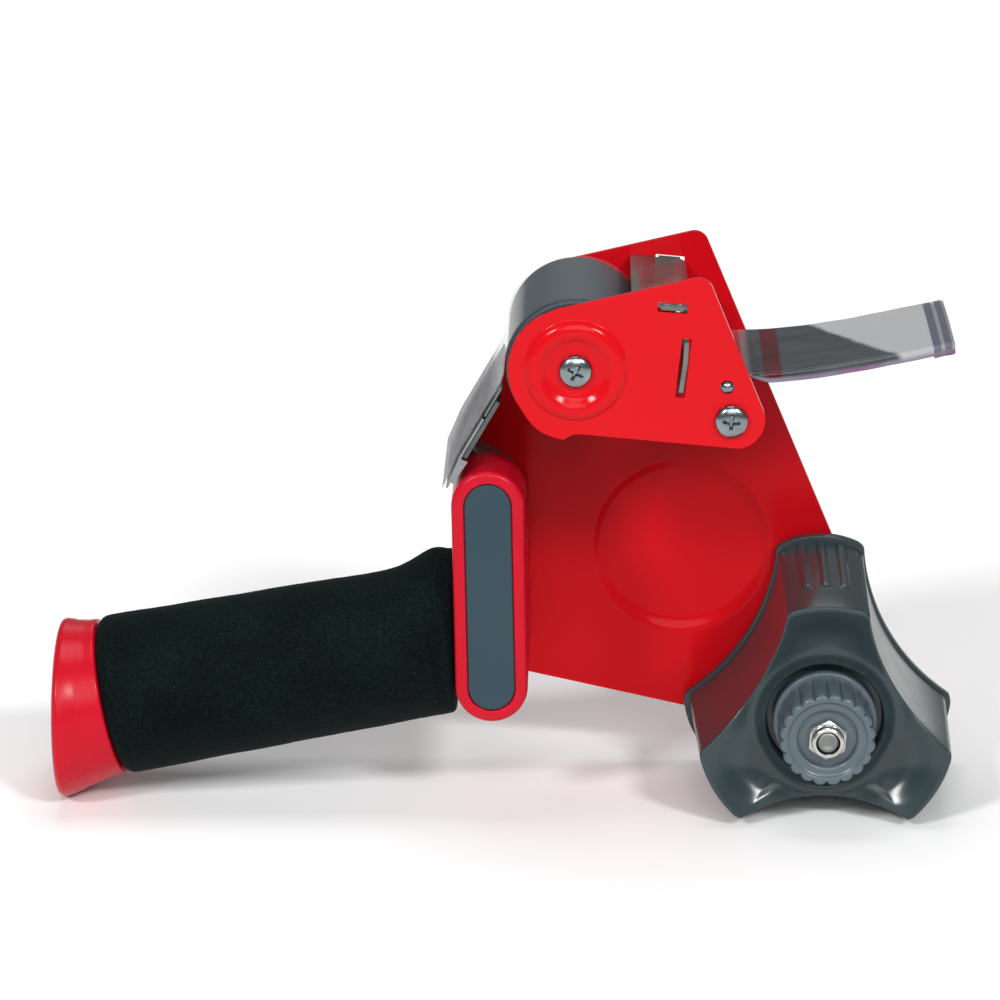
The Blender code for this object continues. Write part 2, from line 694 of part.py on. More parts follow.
def strip(name, outline, along, away, thickness):
    """Flat strip: outline is (Y, distance along), laid on mid, with its thickness along away."""
    rings = []
    for side in (-0.5, 0.5):
        ring = []
        for y, d in outline:
            p = mid + along * d + away * side * thickness
            ring.append(Vector((p.x * MM, y * MM, p.y * MM)))
        rings.append(ring)
    return loft(name, rings)


blade = strip("serrated_blade", [(-23.6, -0.1), (23.6, -0.1), (23.6, BLADE_TOP), (-23.6, BLADE_TOP)], slope, out, BLADE_T)
teeth_outline = [(-23.5, 0.15), (-23.5, BLADE_LOW)]
for k in range(TEETH):
    y = -23.5 + 47.0 * k / TEETH
    w = 47.0 / TEETH
    teeth_outline.append((y + w * 0.5, BLADE_LOW - TOOTH))
    teeth_outline.append((y + w, BLADE_LOW))
teeth_outline.append((23.5, 0.15))
join(blade, strip("teeth", teeth_outline, edge_dir, edge_out, BLADE_T * 0.98))
for y0, y1 in ((-23.45, -22.85), (22.85, 23.45)):
    ear_a = mid + edge_dir * -0.8
    ear_b = mid + edge_dir * -8.2
    ear = curve_mesh(
        "ear",
        [[tuple(ear_a + edge_out * 0.1), tuple(ear_b + edge_out * 0.1), tuple(ear_b - edge_out * 1.1), tuple(ear_a - edge_out * 2.4)]],
        y0,
        y1,
    )
    join(blade, ear)
for y in (-RIVET_Y, RIVET_Y):
    drill = upright("rivet_hole", [(0, -6.0), (1.5, -6.0), (1.5, 6.0), (0, 6.0)], 14)
    across_blade(drill, RIVET_S, y)
    cut(blade, drill)
finish(blade, M_STEEL)

for name, y in (("blade_rivet_near", -RIVET_Y), ("blade_rivet_far", RIVET_Y)):
    top = GAP + BLADE_T
    rivet = upright(
        name,
        [
            (0, -2.6), (1.2, -2.5), (2.1, -1.9), (2.1, -1.5), (1.2, -1.5), (1.2, top + GAP * 0.3),
            (1.25, top + GAP * 0.3), (1.25, top + 0.25), (0, top + 0.3),
        ],
        14,
    )
    across_blade(rivet, RIVET_S, y)
    finish(rivet, M_STEEL)

# wiper: flexible strip that bridges from the bracket's top towards the roller
w0, w1 = bl + slope * 13.0 + out * (GAP + 0.3), bl + slope * 22.4 + out * (GAP + 0.3)
wiper_strip = sheet_path("wiper_strip", [tuple(w0), tuple((w0 + w1) / 2), tuple(w1)], 0.6, -23.0, 23.0)
finish(wiper_strip, M_WIPER)

# ------------------------------------------------------------- hub and brake


def hub_outline(tip, waist, crown=0.0, inset=0.0, tip_steps=8, side_steps=10, n_round=0):
    """Three arms at 90, 210 and 330 degrees, concave between them."""
    points = []
    half = math.radians(HUB_ARM_HALF)
    for arm in range(3):
        centre = math.radians(90 + 120 * arm)
        for k in range(tip_steps + 1):
            u = -1 + 2 * k / tip_steps
            a = centre + half * u
            soft = 0.55 * max(0.0, abs(u) - 0.75) / 0.25
            r = tip - inset + crown * (1 - u * u) - soft
            points.append((r * math.cos(a), r * math.sin(a)))
        a0 = centre + half
        a1 = centre + 2 * math.pi / 3 - half
        mid_a = (a0 + a1) / 2
        corner = (tip - inset - 0.55)
        chord = corner * math.sin((a1 - a0) / 2)
        reach = corner * math.cos((a1 - a0) / 2)
        sag = reach - (waist - inset)
        radius = (chord * chord + sag * sag) / (2 * sag)
        centre_d = waist - inset + radius
        span = math.asin(chord / radius)
        for k in range(1, side_steps):
            t = -span + 2 * span * k / side_steps
            d = centre_d - radius * math.cos(t)
            w = radius * math.sin(t)
            points.append((d * math.cos(mid_a) - w * math.sin(mid_a), d * math.sin(mid_a) + w * math.cos(mid_a)))
    return points


def hub_ring(y, tip, waist, crown=0.0, inset=0.0):
    return [Vector((px * MM, y * MM, pz * MM)) for px, pz in hub_outline(tip, waist, crown, inset)]


def at_hub(obj):
    obj.location = (HUB_X * MM, obj.location.y, HUB_Z * MM)
    return obj


core_hub = at_hub(
    loft(
        "core_hub",
        [
            hub_ring(HUB_FRONT, HUB_TIP_FRONT, HUB_WAIST),
            hub_ring(HUB_STEP, HUB_TIP_REAR, HUB_WAIST + 0.8),
            hub_ring(HUB_STEP, HUB_FLANGE, HUB_WAIST + 1.6, 1.2),
            hub_ring(HUB_REAR, HUB_FLANGE, HUB_WAIST + 1.6, 1.2),
        ],
    )
)
# hollow from the rear, with walls of about 2.6
cut(
    core_hub,
    at_hub(
        loft(
            "hub_hollow",
            [
                hub_ring(-14.0, HUB_TIP_FRONT + 0.6, HUB_WAIST + 0.2, 0.0, 2.7),
                hub_ring(HUB_REAR + 4, HUB_TIP_REAR, HUB_WAIST + 0.9, 0.0, 2.7),
            ],
        )
    ),
)
join(core_hub, cylinder("hub_boss", 14.2, -15.5, -3.0, HUB_X, HUB_Z, 32))
join(core_hub, cylinder("hub_bearing", 8.4, -4.5, HUB_REAR, HUB_X, HUB_Z, 32))
# crush ribs near the rear of each arm
rib_a, rib_b = Vector((0, 1.5, 36.35)), Vector((0, HUB_STEP - 0.7, 37.95))
for arm in range(3):
    for step in (-8.6, 0.0, 8.6):
        span = (rib_b - rib_a)
        bpy.ops.mesh.primitive_cylinder_add(vertices=8, radius=1.0 * MM, depth=span.length * MM)
        rib = bpy.context.object
        lean = math.atan2(span.z, span.y)
        centre = (rib_a + rib_b) / 2
        rib.matrix_world = (
            Matrix.Translation((HUB_X * MM, 0, HUB_Z * MM))
            @ Matrix.Rotation(math.radians(120 * arm + step), 4, "Y")
            @ Matrix.Translation((0, centre.y * MM, centre.z * MM))
            @ Matrix.Rotation(lean - math.pi / 2, 4, "X")
        )
        place(rib)
        join(core_hub, rib)
# front: dished from the arm tips down to the knob, then the knob and spring pockets and the bore
dish_profile = [(0, -60), (50, -60), (50, -38), (38.5, -31.6), (36.0, -30.1), (31.0, -27.4), (26.0, -25.0), (21.0, -22.9), (16.4, -21.5), (16.4, -17.5), (0, -17.5)]
cut(core_hub, turned("hub_dish", dish_profile, HUB_X, HUB_Z, 48))
cut(core_hub, cylinder("spring_pocket", 11.4, -30.0, -5.5, HUB_X, HUB_Z, 32))
cut(core_hub, cylinder("hub_bore", 4.0 + 0.35, -30.0, 40.0, HUB_X, HUB_Z, 28))
finish(core_hub, M_HUB, angle=28)

HUB_SHAFT_R = 4.0            # shoulder that the hub turns on, the thread in front is BOLT_R
hub_bolt = turned(
    "hub_bolt",
    [
        (0, -40.2), (2.4, -40.2), (BOLT_R, -39.6), (BOLT_R, -21.2), (HUB_SHAFT_R, -21.2), (HUB_SHAFT_R, FAR_OUT + GAP), (8.6, FAR_OUT + GAP),
        (8.2, FAR_OUT + 1.4), (6.4, FAR_OUT + 2.6), (3.4, FAR_OUT + 3.2), (0, FAR_OUT + 3.4),
    ],
    HUB_X,
    HUB_Z,
    28,
)
finish(hub_bolt, M_ZINC)

friction_washer = turned(
    "friction_washer",
    [(4.0 + GAP, HUB_REAR + GAP), (12.5, HUB_REAR + GAP), (12.5, FAR_IN - GAP), (4.0 + GAP, FAR_IN - GAP)],
    HUB_X,
    HUB_Z,
    28,
)
finish(friction_washer, M_FIBRE)

pressure_washer = turned(
    "pressure_washer",
    [(4.0 + GAP, -20.1), (12.4, -20.1), (12.4, -18.9), (4.0 + GAP, -18.9)],
    HUB_X,
    HUB_Z,
    28,
)
finish(pressure_washer, M_ZINC)

# brake spring: 1.6 mm wire, 4 turns, between the pocket's floor and the pressure washer
SPRING_MEAN, SPRING_WIRE, SPRING_TURNS = 8.2, 0.8, 3.5
spring_data = bpy.data.curves.new("brake_spring_line", "CURVE")
spring_data.dimensions = "3D"
spring_data.bevel_depth = SPRING_WIRE * MM
spring_data.bevel_resolution = 2
spring_data.use_fill_caps = True
line = spring_data.splines.new("POLY")
steps = int(SPRING_TURNS * 14)
line.points.add(steps)
y_from, y_to = -18.6 + SPRING_WIRE + 0.05, -5.8 - SPRING_WIRE - 0.05
for i in range(steps + 1):
    a = 2 * math.pi * SPRING_TURNS * i / steps
    line.points[i].co = (
        SPRING_MEAN * math.cos(a) * MM,
        (y_from + (y_to - y_from) * i / steps) * MM,
        SPRING_MEAN * math.sin(a) * MM,
        1,
    )
spring_guide = bpy.data.objects.new("brake_spring_line", spring_data)
scene.collection.objects.link(spring_guide)
spring_guide.location = (HUB_X * MM, 0, HUB_Z * MM)
brake_spring = curve_to_mesh("brake_spring", spring_guide)
finish(brake_spring, M_STEEL)


def scallops(r, depth, count, per, x, z):
    """Round lobes side by side, with a sharp valley between each two."""
    points = []
    for i in range(count * per):
        a = 2 * math.pi * i / (count * per)
        u = 2 * ((i % per) / per) - 1
        d = r - depth * (1 - math.sqrt(1 - 0.9 * u * u)) / (1 - math.sqrt(0.1))
        points.append((x + d * math.cos(a), z + d * math.sin(a)))
    return points


brake_knob = curve_mesh("brake_knob", [scallops(KNOB_R, 1.0, 20, 4, 0, 0)], KNOB_FRONT, KNOB_FLANGE_FRONT + 0.8)
at_hub(brake_knob)
join(brake_knob, cylinder("knob_flange", KNOB_FLANGE_R, KNOB_FLANGE_FRONT, KNOB_BACK, HUB_X, HUB_Z, 48))
cut(
    brake_knob,
    turned(
        "knob_inside",
        [(0, -50), (11.2, -50), (11.2, -38.2), (10.6, -37.6), (8.7, -37.0), (8.3, -36.4), (8.3, -35.3), (BOLT_R + GAP, -35.3), (BOLT_R + GAP, -23.2), (4.0 + GAP, -23.2), (4.0 + GAP, -10), (0, -10)],
        HUB_X,
        HUB_Z,
        36,
    ),
)
finish(brake_knob, M_KNOB, angle=30)

# hex nut with a rounded nylon collar in front
lock_nut = curve_mesh("lock_nut", [arc(0, 0, NUT_AF / 2 / math.cos(math.pi / 6), 26, 326, 5)], -39.0, -35.7)
at_hub(lock_nut)
collar = turned("nut_collar", [(0, -37.0), (4.5, -37.0), (4.5, -39.8), (4.1, -40.5), (3.6, -40.7), (0, -40.7)], HUB_X, HUB_Z, 28)
join(lock_nut, collar)
cut(lock_nut, cylinder("nut_bore", BOLT_R + GAP, -50, -20, HUB_X, HUB_Z, 28))
finish(lock_nut, M_NYLON)

# ---------------------------------------------------------------- film leader
film_line = []
# free end on the right, over the rod, under the guide plate's lower edge
free_points = [(124.6, 52.6), (113.0, 50.0), (100.0, 47.4), (87.0, 45.2), (76.0, 43.9), (68.0, 43.55)]
film_line += free_points
film_line += arc(ROD_X, ROD_Z, ROD_R + 0.35 + FILM_T / 2, 82, 126, 3)
film_line += [(57.6, 40.6), (53.4, 37.9)]
film_line += arc(49.9, 38.6, 2.05, 300, 222, 4)
wrap = ROLLER_R + 0.35 + FILM_T / 2
film_line += arc(ROLLER_X, ROLLER_Z, wrap, 31, 178, 22)
lower = bl + out * (GAP + BLADE_T + 0.35 + FILM_T / 2)
film_line += [(1.35, 43.2)]
for s in (21.4, 18.8, 14.8, 9.8, 4.8, 1.0):
    film_line.append(tuple(lower + slope * s + out * 0.35))
for s in (-1.5, -6.0, -10.3):
    film_line.append(tuple(lower + edge_dir * s + edge_out * 0.35))
tape_leader = sheet_path("tape_leader", film_line, FILM_T, -FILM_HALF, FILM_HALF)
finish(tape_leader, M_FILM)

# ------------------------------------------------- stand the gun on its feet
bpy.context.view_layer.update()
stand = Matrix.Translation((LIFT_X * MM, LIFT_Y * MM, LIFT_Z * MM)) @ Matrix.Rotation(LEAN, 4, "Y")
for obj in list(PARTS.objects):
    obj.matrix_world = stand @ obj.matrix_world
bpy.context.view_layer.update()
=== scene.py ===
"""Looks of the tape gun: fine surfaces, materials, floor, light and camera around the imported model."""

import math

import bmesh
import bpy
import numpy as np
from mathutils import Matrix, Vector, noise


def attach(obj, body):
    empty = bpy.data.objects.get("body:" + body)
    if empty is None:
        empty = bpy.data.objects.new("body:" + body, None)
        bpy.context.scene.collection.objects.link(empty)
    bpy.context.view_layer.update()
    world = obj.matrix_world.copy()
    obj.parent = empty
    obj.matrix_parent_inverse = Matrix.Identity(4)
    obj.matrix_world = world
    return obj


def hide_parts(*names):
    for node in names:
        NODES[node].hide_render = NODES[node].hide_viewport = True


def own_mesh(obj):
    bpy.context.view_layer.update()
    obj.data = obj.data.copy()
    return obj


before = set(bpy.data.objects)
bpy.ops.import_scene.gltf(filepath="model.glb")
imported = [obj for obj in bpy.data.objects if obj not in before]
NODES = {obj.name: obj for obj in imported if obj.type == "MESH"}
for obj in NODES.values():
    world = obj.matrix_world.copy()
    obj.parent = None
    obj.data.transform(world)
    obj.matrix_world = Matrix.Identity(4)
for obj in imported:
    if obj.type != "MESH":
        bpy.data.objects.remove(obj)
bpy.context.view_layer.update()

MM = 0.001
LEAN = math.radians(0.384)
LIFT = Vector((-1.579, 4.75, 87.5)) * MM
STAND = Matrix.Translation(LIFT) @ Matrix.Rotation(LEAN, 4, "Y")
UNSTAND = STAND.inverted()

# the design's own measures, in millimetres in the drawing frame (X pommel to hub, Y near to far, Z up)
NEAR_OUT, NEAR_IN, FAR_IN, FAR_OUT = -27.3, -25.8, 26.3, 27.8
ROLLER = (21.2, 45.5)
POST = (63.9, 31.6)
ROD = (62.6, 41.0)
HUB = (91.6, -57.4)
TOP_CORNER = (56.9, 72.4, 4.2)
SHOULDER = [(5.1, 54.8), (7.4, 57.6), (10.4, 60.2), (15.9, 62.6)]
GRIP_X, GRIP_Z, GRIP_SLOPE = -12.0, -39.6, 11.2
FOAM_LEN = 100.6

scene = bpy.context.scene
scene.view_settings.view_transform = "Standard"
scene.view_settings.look = "None"


# ------------------------------------------------------------------ helpers
def new_object(name, mesh):
    obj = bpy.data.objects.new(name, mesh)
    scene.collection.objects.link(obj)
    return obj


def bake_modifiers(obj):
    bpy.context.view_layer.update()
    graph = bpy.context.evaluated_depsgraph_get()
    mesh = bpy.data.meshes.new_from_object(obj.evaluated_get(graph))
    obj.modifiers.clear()
    obj.data = mesh
    return obj


def shade(obj, angle=40.0):
    obj.data.shade_smooth()
    obj.data.set_sharp_from_angle(angle=math.radians(angle))
    return obj


def settle(obj, body, slot, mat, *nodes):
    """Give a finished piece its material, its body and the CAD nodes that it stands for."""
    obj.data.materials.clear()
    obj.data.materials.append(mat)
    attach(obj, body)
    if nodes:
        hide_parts(*nodes)
    return obj


def bevel(obj, width, segments=2, angle=30.0):
    step = obj.modifiers.new("bevel", "BEVEL")
    step.width = width * MM
    step.segments = segments
    step.limit_method = "ANGLE"
    step.angle_limit = math.radians(angle)
    step.use_clamp_overlap = True
    step.harden_normals = False
    step.miter_outer = "MITER_ARC"
    return obj


def weigh(obj):
    step = obj.modifiers.new("weighted", "WEIGHTED_NORMAL")
    step.keep_sharp = True
    step.weight = 60
    return obj


def refined(node, name, width=0.25, segments=2, angle=30.0, smooth=40.0):
    """A copy of a CAD node with its flat faces made whole, its edges rounded and its round faces smooth."""
    work = bmesh.new()
    work.from_mesh(NODES[node].data)
    bmesh.ops.remove_doubles(work, verts=work.verts, dist=2e-6)
    bmesh.ops.dissolve_limit(work, angle_limit=math.radians(0.6), verts=work.verts, edges=work.edges)
    mesh = bpy.data.meshes.new(name)
    work.to_mesh(mesh)
    work.free()
    obj = new_object(name, mesh)
    if width > 0:
        bevel(obj, width, segments, angle)
        bake_modifiers(obj)
    shade(obj, smooth)
    weigh(obj)
    return obj


def arc(cx, cz, r, a0, a1, n):
    return [
        (cx + r * math.cos(math.radians(a0 + (a1 - a0) * i / n)), cz + r * math.sin(math.radians(a0 + (a1 - a0) * i / n)))
        for i in range(n + 1)
    ]


def rounded(corners, steps=8):
    points = []
    n = len(corners)
    for i, (x, z, r) in enumerate(corners):
        here = Vector((x, z))
        if r <= 0:
            points.append((x, z))
            continue
        a = Vector(corners[i - 1][:2]) - here
        b = Vector(corners[(i + 1) % n][:2]) - here
        a.normalize()
        b.normalize()
        half = a.angle(b) / 2
        reach = r / math.tan(half)
        middle = (a + b).normalized() * (r / math.sin(half)) + here
        start = here + a * reach - middle
        end = here + b * reach - middle
        turn = math.atan2(start.x * end.y - start.y * end.x, start.dot(end))
        for k in range(steps + 1):
            t = turn * k / steps
            c, s = math.cos(t), math.sin(t)
            points.append((middle.x + start.x * c - start.y * s, middle.y + start.x * s + start.y * c))
    return points


def outline_mesh(name, loops, y0, y1, edge=0.0, edge_steps=3):
    """Flat outline in XZ with holes, extruded from y0 to y1, its rim rounded by edge."""
    data = bpy.data.curves.new(name + "_line", "CURVE")
    data.dimensions = "2D"
    data.fill_mode = "BOTH"
    data.extrude = abs(y1 - y0) / 2 * MM - edge * MM
    data.bevel_depth = edge * MM
    data.bevel_resolution = edge_steps
    data.offset = -edge * MM
    for loop in loops:
        line = data.splines.new("POLY")
        line.points.add(len(loop) - 1)
        for point, (x, z) in zip(line.points, loop):
            point.co = (x * MM, z * MM, 0, 1)
        line.use_cyclic_u = True
    guide = bpy.data.objects.new(name + "_line", data)
    scene.collection.objects.link(guide)
    bpy.context.view_layer.update()
    graph = bpy.context.evaluated_depsgraph_get()
    mesh = bpy.data.meshes.new_from_object(guide.evaluated_get(graph))
    bpy.data.objects.remove(guide, do_unlink=True)
    mesh.transform(Matrix.Translation((0, (y0 + y1) / 2 * MM, 0)) @ Matrix.Rotation(math.pi / 2, 4, "X"))
    work = bmesh.new()
    work.from_mesh(mesh)
    bmesh.ops.remove_doubles(work, verts=work.verts, dist=1e-6)
    bmesh.ops.recalc_face_normals(work, faces=work.faces)
    work.to_mesh(mesh)
    work.free()
    return new_object(name, mesh)


def rings_mesh(name, rings, cap_start=True, cap_end=True):
    """Quads through rings of points in metres."""
    work = bmesh.new()
    loops = [[work.verts.new(p) for p in ring] for ring in rings]
    n = len(loops[0])
    for a, b in zip(loops, loops[1:]):
        for i in range(n):
            work.faces.new((a[i], a[(i + 1) % n], b[(i + 1) % n], b[i]))
    if cap_start:
        work.faces.new(loops[0][::-1])
    if cap_end:
        work.faces.new(loops[-1])
    bmesh.ops.remove_doubles(work, verts=work.verts, dist=1e-7)
    bmesh.ops.recalc_face_normals(work, faces=work.faces)
    mesh = bpy.data.meshes.new(name)
    work.to_mesh(mesh)
    work.free()
    return new_object(name, mesh)


def turned(name, profile, x, z, steps=96, closed=True):
    """Turned surface about a line along Y. profile is (radius, position along Y)."""
    rings = []
    for r, p in profile:
        rings.append(
            [
                Vector(((x + r * math.cos(2 * math.pi * i / steps)) * MM, p * MM, (z + r * math.sin(2 * math.pi * i / steps)) * MM))
                for i in range(steps)
            ]
        )
    work = bmesh.new()
    loops = []
    for (r, p), ring in zip(profile, rings):
        if r < 1e-6:
            loops.append([work.verts.new(ring[0])])
        else:
            loops.append([work.verts.new(v) for v in ring])
    pairs = list(zip(loops, loops[1:]))
    if closed and len(loops[0]) > 1 and len(loops[-1]) > 1:
        pairs.append((loops[-1], loops[0]))
    for a, b in pairs:
        for i in range(steps):
            j = (i + 1) % steps
            if len(a) == 1 and len(b) == 1:
                continue
            if len(a) == 1:
                work.faces.new((a[0], b[j], b[i]))
            elif len(b) == 1:
                work.faces.new((a[i], a[j], b[0]))
            else:
                work.faces.new((a[i], a[j], b[j], b[i]))
    bmesh.ops.recalc_face_normals(work, faces=work.faces)
    mesh = bpy.data.meshes.new(name)
    work.to_mesh(mesh)
    work.free()
    return new_object(name, mesh)


def fillet(profile, r, steps=4):
    """Rounds the inner corners of an open (radius, y) profile."""
    out = [profile[0]]
    for i in range(1, len(profile) - 1):
        p, a, b = Vector(profile[i]), Vector(profile[i - 1]), Vector(profile[i + 1])
        da, db = a - p, b - p
        if da.length < 1e-6 or db.length < 1e-6:
            out.append(profile[i])
            continue
        ang = da.angle(db)
        rr = min(r, 0.45 * min(da.length, db.length) * math.tan(ang / 2))
        if ang > math.radians(172) or rr < 0.02:
            out.append(profile[i])
            continue
        reach = rr / math.tan(ang / 2)
        s, e = p + da.normalized() * reach, p + db.normalized() * reach
        for k in range(steps + 1):
            t = k / steps
            q = s * (1 - t) ** 2 + p * 2 * t * (1 - t) + e * t * t
            out.append((q.x, q.y))
    out.append(profile[-1])
    return out


def stand(obj):
    obj.data.transform(STAND)
    obj.data.update()
    return obj


def join_objects(base, *others):
    """Puts the other meshes into base's mesh."""
    work = bmesh.new()
    for obj in (base, *others):
        work.from_mesh(obj.data)
    bmesh.ops.remove_doubles(work, verts=work.verts, dist=3e-6)
    work.to_mesh(base.data)
    work.free()
    for obj in others:
        bpy.data.objects.remove(obj, do_unlink=True)
    return base


def boolean(obj, other, operation="DIFFERENCE"):
    bpy.context.view_layer.update()
    step = obj.modifiers.new("cut", "BOOLEAN")
    step.operation = operation
    step.solver = "EXACT"
    step.object = other
    bake_modifiers(obj)
    bpy.data.objects.remove(other, do_unlink=True)
    return obj


# ---------------------------------------------------------------- materials
class Nodes:
    """A small help for building node materials."""

    def __init__(self, name):
        self.mat = bpy.data.materials.new(name)
        self.mat.use_nodes = True
        self.tree = self.mat.node_tree
        self.shader = self.tree.nodes["Principled BSDF"]
        self.coords = self.tree.nodes.new("ShaderNodeTexCoord").outputs["Object"]

    def add(self, kind, **inputs):
        node = self.tree.nodes.new(kind)
        for key, value in inputs.items():
            if hasattr(node, key):
                setattr(node, key, value)
        return node

    def link(self, a, b):
        self.tree.links.new(a, b)

    def noise(self, scale, detail=3.0, rough=0.55, vector=None):
        node = self.add("ShaderNodeTexNoise")
        node.inputs["Scale"].default_value = scale
        node.inputs["Detail"].default_value = detail
        node.inputs["Roughness"].default_value = rough
        self.link(vector or self.coords, node.inputs["Vector"])
        return node.outputs["Fac"]

    def voronoi(self, scale, feature="F1", vector=None):
        node = self.add("ShaderNodeTexVoronoi")
        node.feature = feature
        node.inputs["Scale"].default_value = scale
        self.link(vector or self.coords, node.inputs["Vector"])
        return node.outputs["Distance"]

    def ramp(self, fac, stops):
        node = self.add("ShaderNodeValToRGB")
        elements = node.color_ramp.elements
        while len(elements) < len(stops):
            elements.new(0.5)
        for element, (place, colour) in zip(elements, stops):
            element.position = place
            element.color = (*colour, 1.0) if len(colour) == 3 else colour
        self.link(fac, node.inputs["Fac"])
        return node.outputs["Color"]

    def span(self, fac, low, high, from_low=0.0, from_high=1.0):
        node = self.add("ShaderNodeMapRange")
        node.inputs["From Min"].default_value = from_low
        node.inputs["From Max"].default_value = from_high
        node.inputs["To Min"].default_value = low
        node.inputs["To Max"].default_value = high
        self.link(fac, node.inputs["Value"])
        return node.outputs["Result"]

    def mix(self, fac, a, b):
        node = self.add("ShaderNodeMix")
        node.data_type = "RGBA"
        if isinstance(fac, float):
            node.inputs["Factor"].default_value = fac
        else:
            self.link(fac, node.inputs["Factor"])
        for value, socket in ((a, node.inputs[6]), (b, node.inputs[7])):
            if isinstance(value, tuple):
                socket.default_value = (*value, 1.0)
            else:
                self.link(value, socket)
        return node.outputs[2]

    def math(self, kind, a, b=None):
        node = self.add("ShaderNodeMath")
        node.operation = kind
        for value, socket in ((a, node.inputs[0]), (b, node.inputs[1])):
            if value is None:
                continue
            if isinstance(value, (int, float)):
                socket.default_value = value
            else:
                self.link(value, socket)
        return node.outputs[0]

    def bump(self, height, strength, distance, normal=None):
        node = self.add("ShaderNodeBump")
        node.inputs["Strength"].default_value = strength
        node.inputs["Distance"].default_value = distance
        self.link(height, node.inputs["Height"])
        if normal is not None:
            self.link(normal, node.inputs["Normal"])
        return node.outputs["Normal"]

    def base(self, colour=None, rough=None, normal=None, metallic=None, **fixed):
        for value, name in ((colour, "Base Color"), (rough, "Roughness"), (normal, "Normal")):
            if value is None:
                continue
            socket = self.shader.inputs[name]
            if isinstance(value, tuple):
                socket.default_value = (*value, 1.0)
            elif isinstance(value, float):
                socket.default_value = value
            else:
                self.link(value, socket)
        if metallic is not None:
            self.shader.inputs["Metallic"].default_value = metallic
        for name, value in fixed.items():
            self.shader.inputs[name.replace("_", " ")].default_value = value
        return self.mat


def scaled(nodes, sx, sy, sz):
    node = nodes.add("ShaderNodeMapping")
    node.inputs["Scale"].default_value = (sx, sy, sz)
    nodes.link(nodes.coords, node.inputs["Vector"])
    return node.outputs["Vector"]


def powder_coat(name, colour, deep, rough=0.2, level=0.15):
    """Glossy stoved enamel on steel: a faint orange peel and slow changes of tone."""
    n = Nodes(name)
    slow = n.noise(22.0, 2.0)
    tone = n.ramp(slow, [(0.3, deep), (0.7, colour)])
    peel = n.noise(900.0, 2.0, 0.4)
    wave = n.noise(150.0, 1.0, 0.3)
    dust = n.voronoi(1400.0)
    normal = n.bump(peel, 0.05, 0.00006)
    normal = n.bump(wave, 0.05, 0.0003, normal)
    shine = n.span(n.noise(60.0, 3.0), rough - 0.03, rough + 0.05)
    n.base(tone, shine, normal)
    n.shader.inputs["Coat Weight"].default_value = 0.0
    n.shader.inputs["Specular IOR Level"].default_value = level
    del dust
    return n.mat


def moulded(name, colour, deep, rough, grain=1600.0, grain_depth=0.00002, strength=0.08, coat=0.0, flow=0.0, level=0.4):
    """Injection moulded plastic: fine tool texture, slow flow marks."""
    n = Nodes(name)
    slow = n.noise(30.0, 3.0)
    tone = n.ramp(slow, [(0.32, deep), (0.68, colour)])
    fine = n.noise(grain, 3.0, 0.6)
    normal = n.bump(fine, strength, grain_depth)
    if flow:
        drift = n.noise(1.0, 2.0, 0.5, scaled(n, 60.0, 60.0, 220.0))
        normal = n.bump(drift, flow, 0.0003, normal)
    shine = n.span(n.noise(90.0, 4.0), rough - 0.04, rough + 0.06)
    n.base(tone, shine, normal)
    n.shader.inputs["Specular IOR Level"].default_value = level
    n.shader.inputs["Coat Weight"].default_value = coat
    n.shader.inputs["Coat Roughness"].default_value = 0.1
    return n.mat


def plated(name, colour, dull, rough, brushed=(1.0, 1.0, 1.0), strength=0.06, metal=1.0):
    """Zinc plated or bare steel: metallic, with fine marks and a patchy sheen."""
    n = Nodes(name)
    patch = n.noise(140.0, 4.0, 0.6)
    tone = n.ramp(patch, [(0.3, dull), (0.65, colour)])
    lines = n.noise(1.0, 4.0, 0.7, scaled(n, *[900.0 * b for b in brushed]))
    spangle = n.voronoi(420.0)
    normal = n.bump(lines, strength, 0.00003)
    shine = n.math("ADD", n.span(lines, rough - 0.06, rough + 0.08), n.span(spangle, 0.0, 0.05))
    n.base(tone, shine, normal, metallic=metal)
    return n.mat


def foam_material():
    """Closed cell foam with a fine pebbled skin and a little lint."""
    n = Nodes("foam_skin")
    cells = n.voronoi(1500.0)
    fine = n.noise(3200.0, 3.0, 0.7)
    slow = n.noise(45.0, 3.0)
    lint = n.noise(700.0, 5.0, 0.75)
    grain = n.math("ADD", n.math("MULTIPLY", n.noise(1900.0, 3.0, 0.65), 0.75), n.math("MULTIPLY", slow, 0.25))
    dark = n.ramp(grain, [(0.36, (0.0001, 0.0008, 0.0009)), (0.5, (0.0008, 0.0034, 0.0034)), (0.62, (0.0036, 0.0108, 0.0108))])
    fleck = n.ramp(lint, [(0.62, (0.0, 0.0, 0.0)), (0.76, (0.012, 0.016, 0.016))])
    add = n.add("ShaderNodeMix")
    add.data_type = "RGBA"
    add.blend_type = "ADD"
    add.inputs["Factor"].default_value = 1.0
    n.link(dark, add.inputs[6])
    n.link(fleck, add.inputs[7])
    normal = n.bump(cells, 0.35, 0.0002)
    normal = n.bump(fine, 0.3, 0.00012, normal)
    n.base(add.outputs[2], n.span(slow, 0.7, 0.85), normal)
    n.shader.inputs["Specular IOR Level"].default_value = 0.06
    n.shader.inputs["Sheen Weight"].default_value = 0.018
    n.shader.inputs["Sheen Roughness"].default_value = 0.55
    n.shader.inputs["Sheen Tint"].default_value = (0.6, 0.75, 0.75, 1.0)
    return n.mat


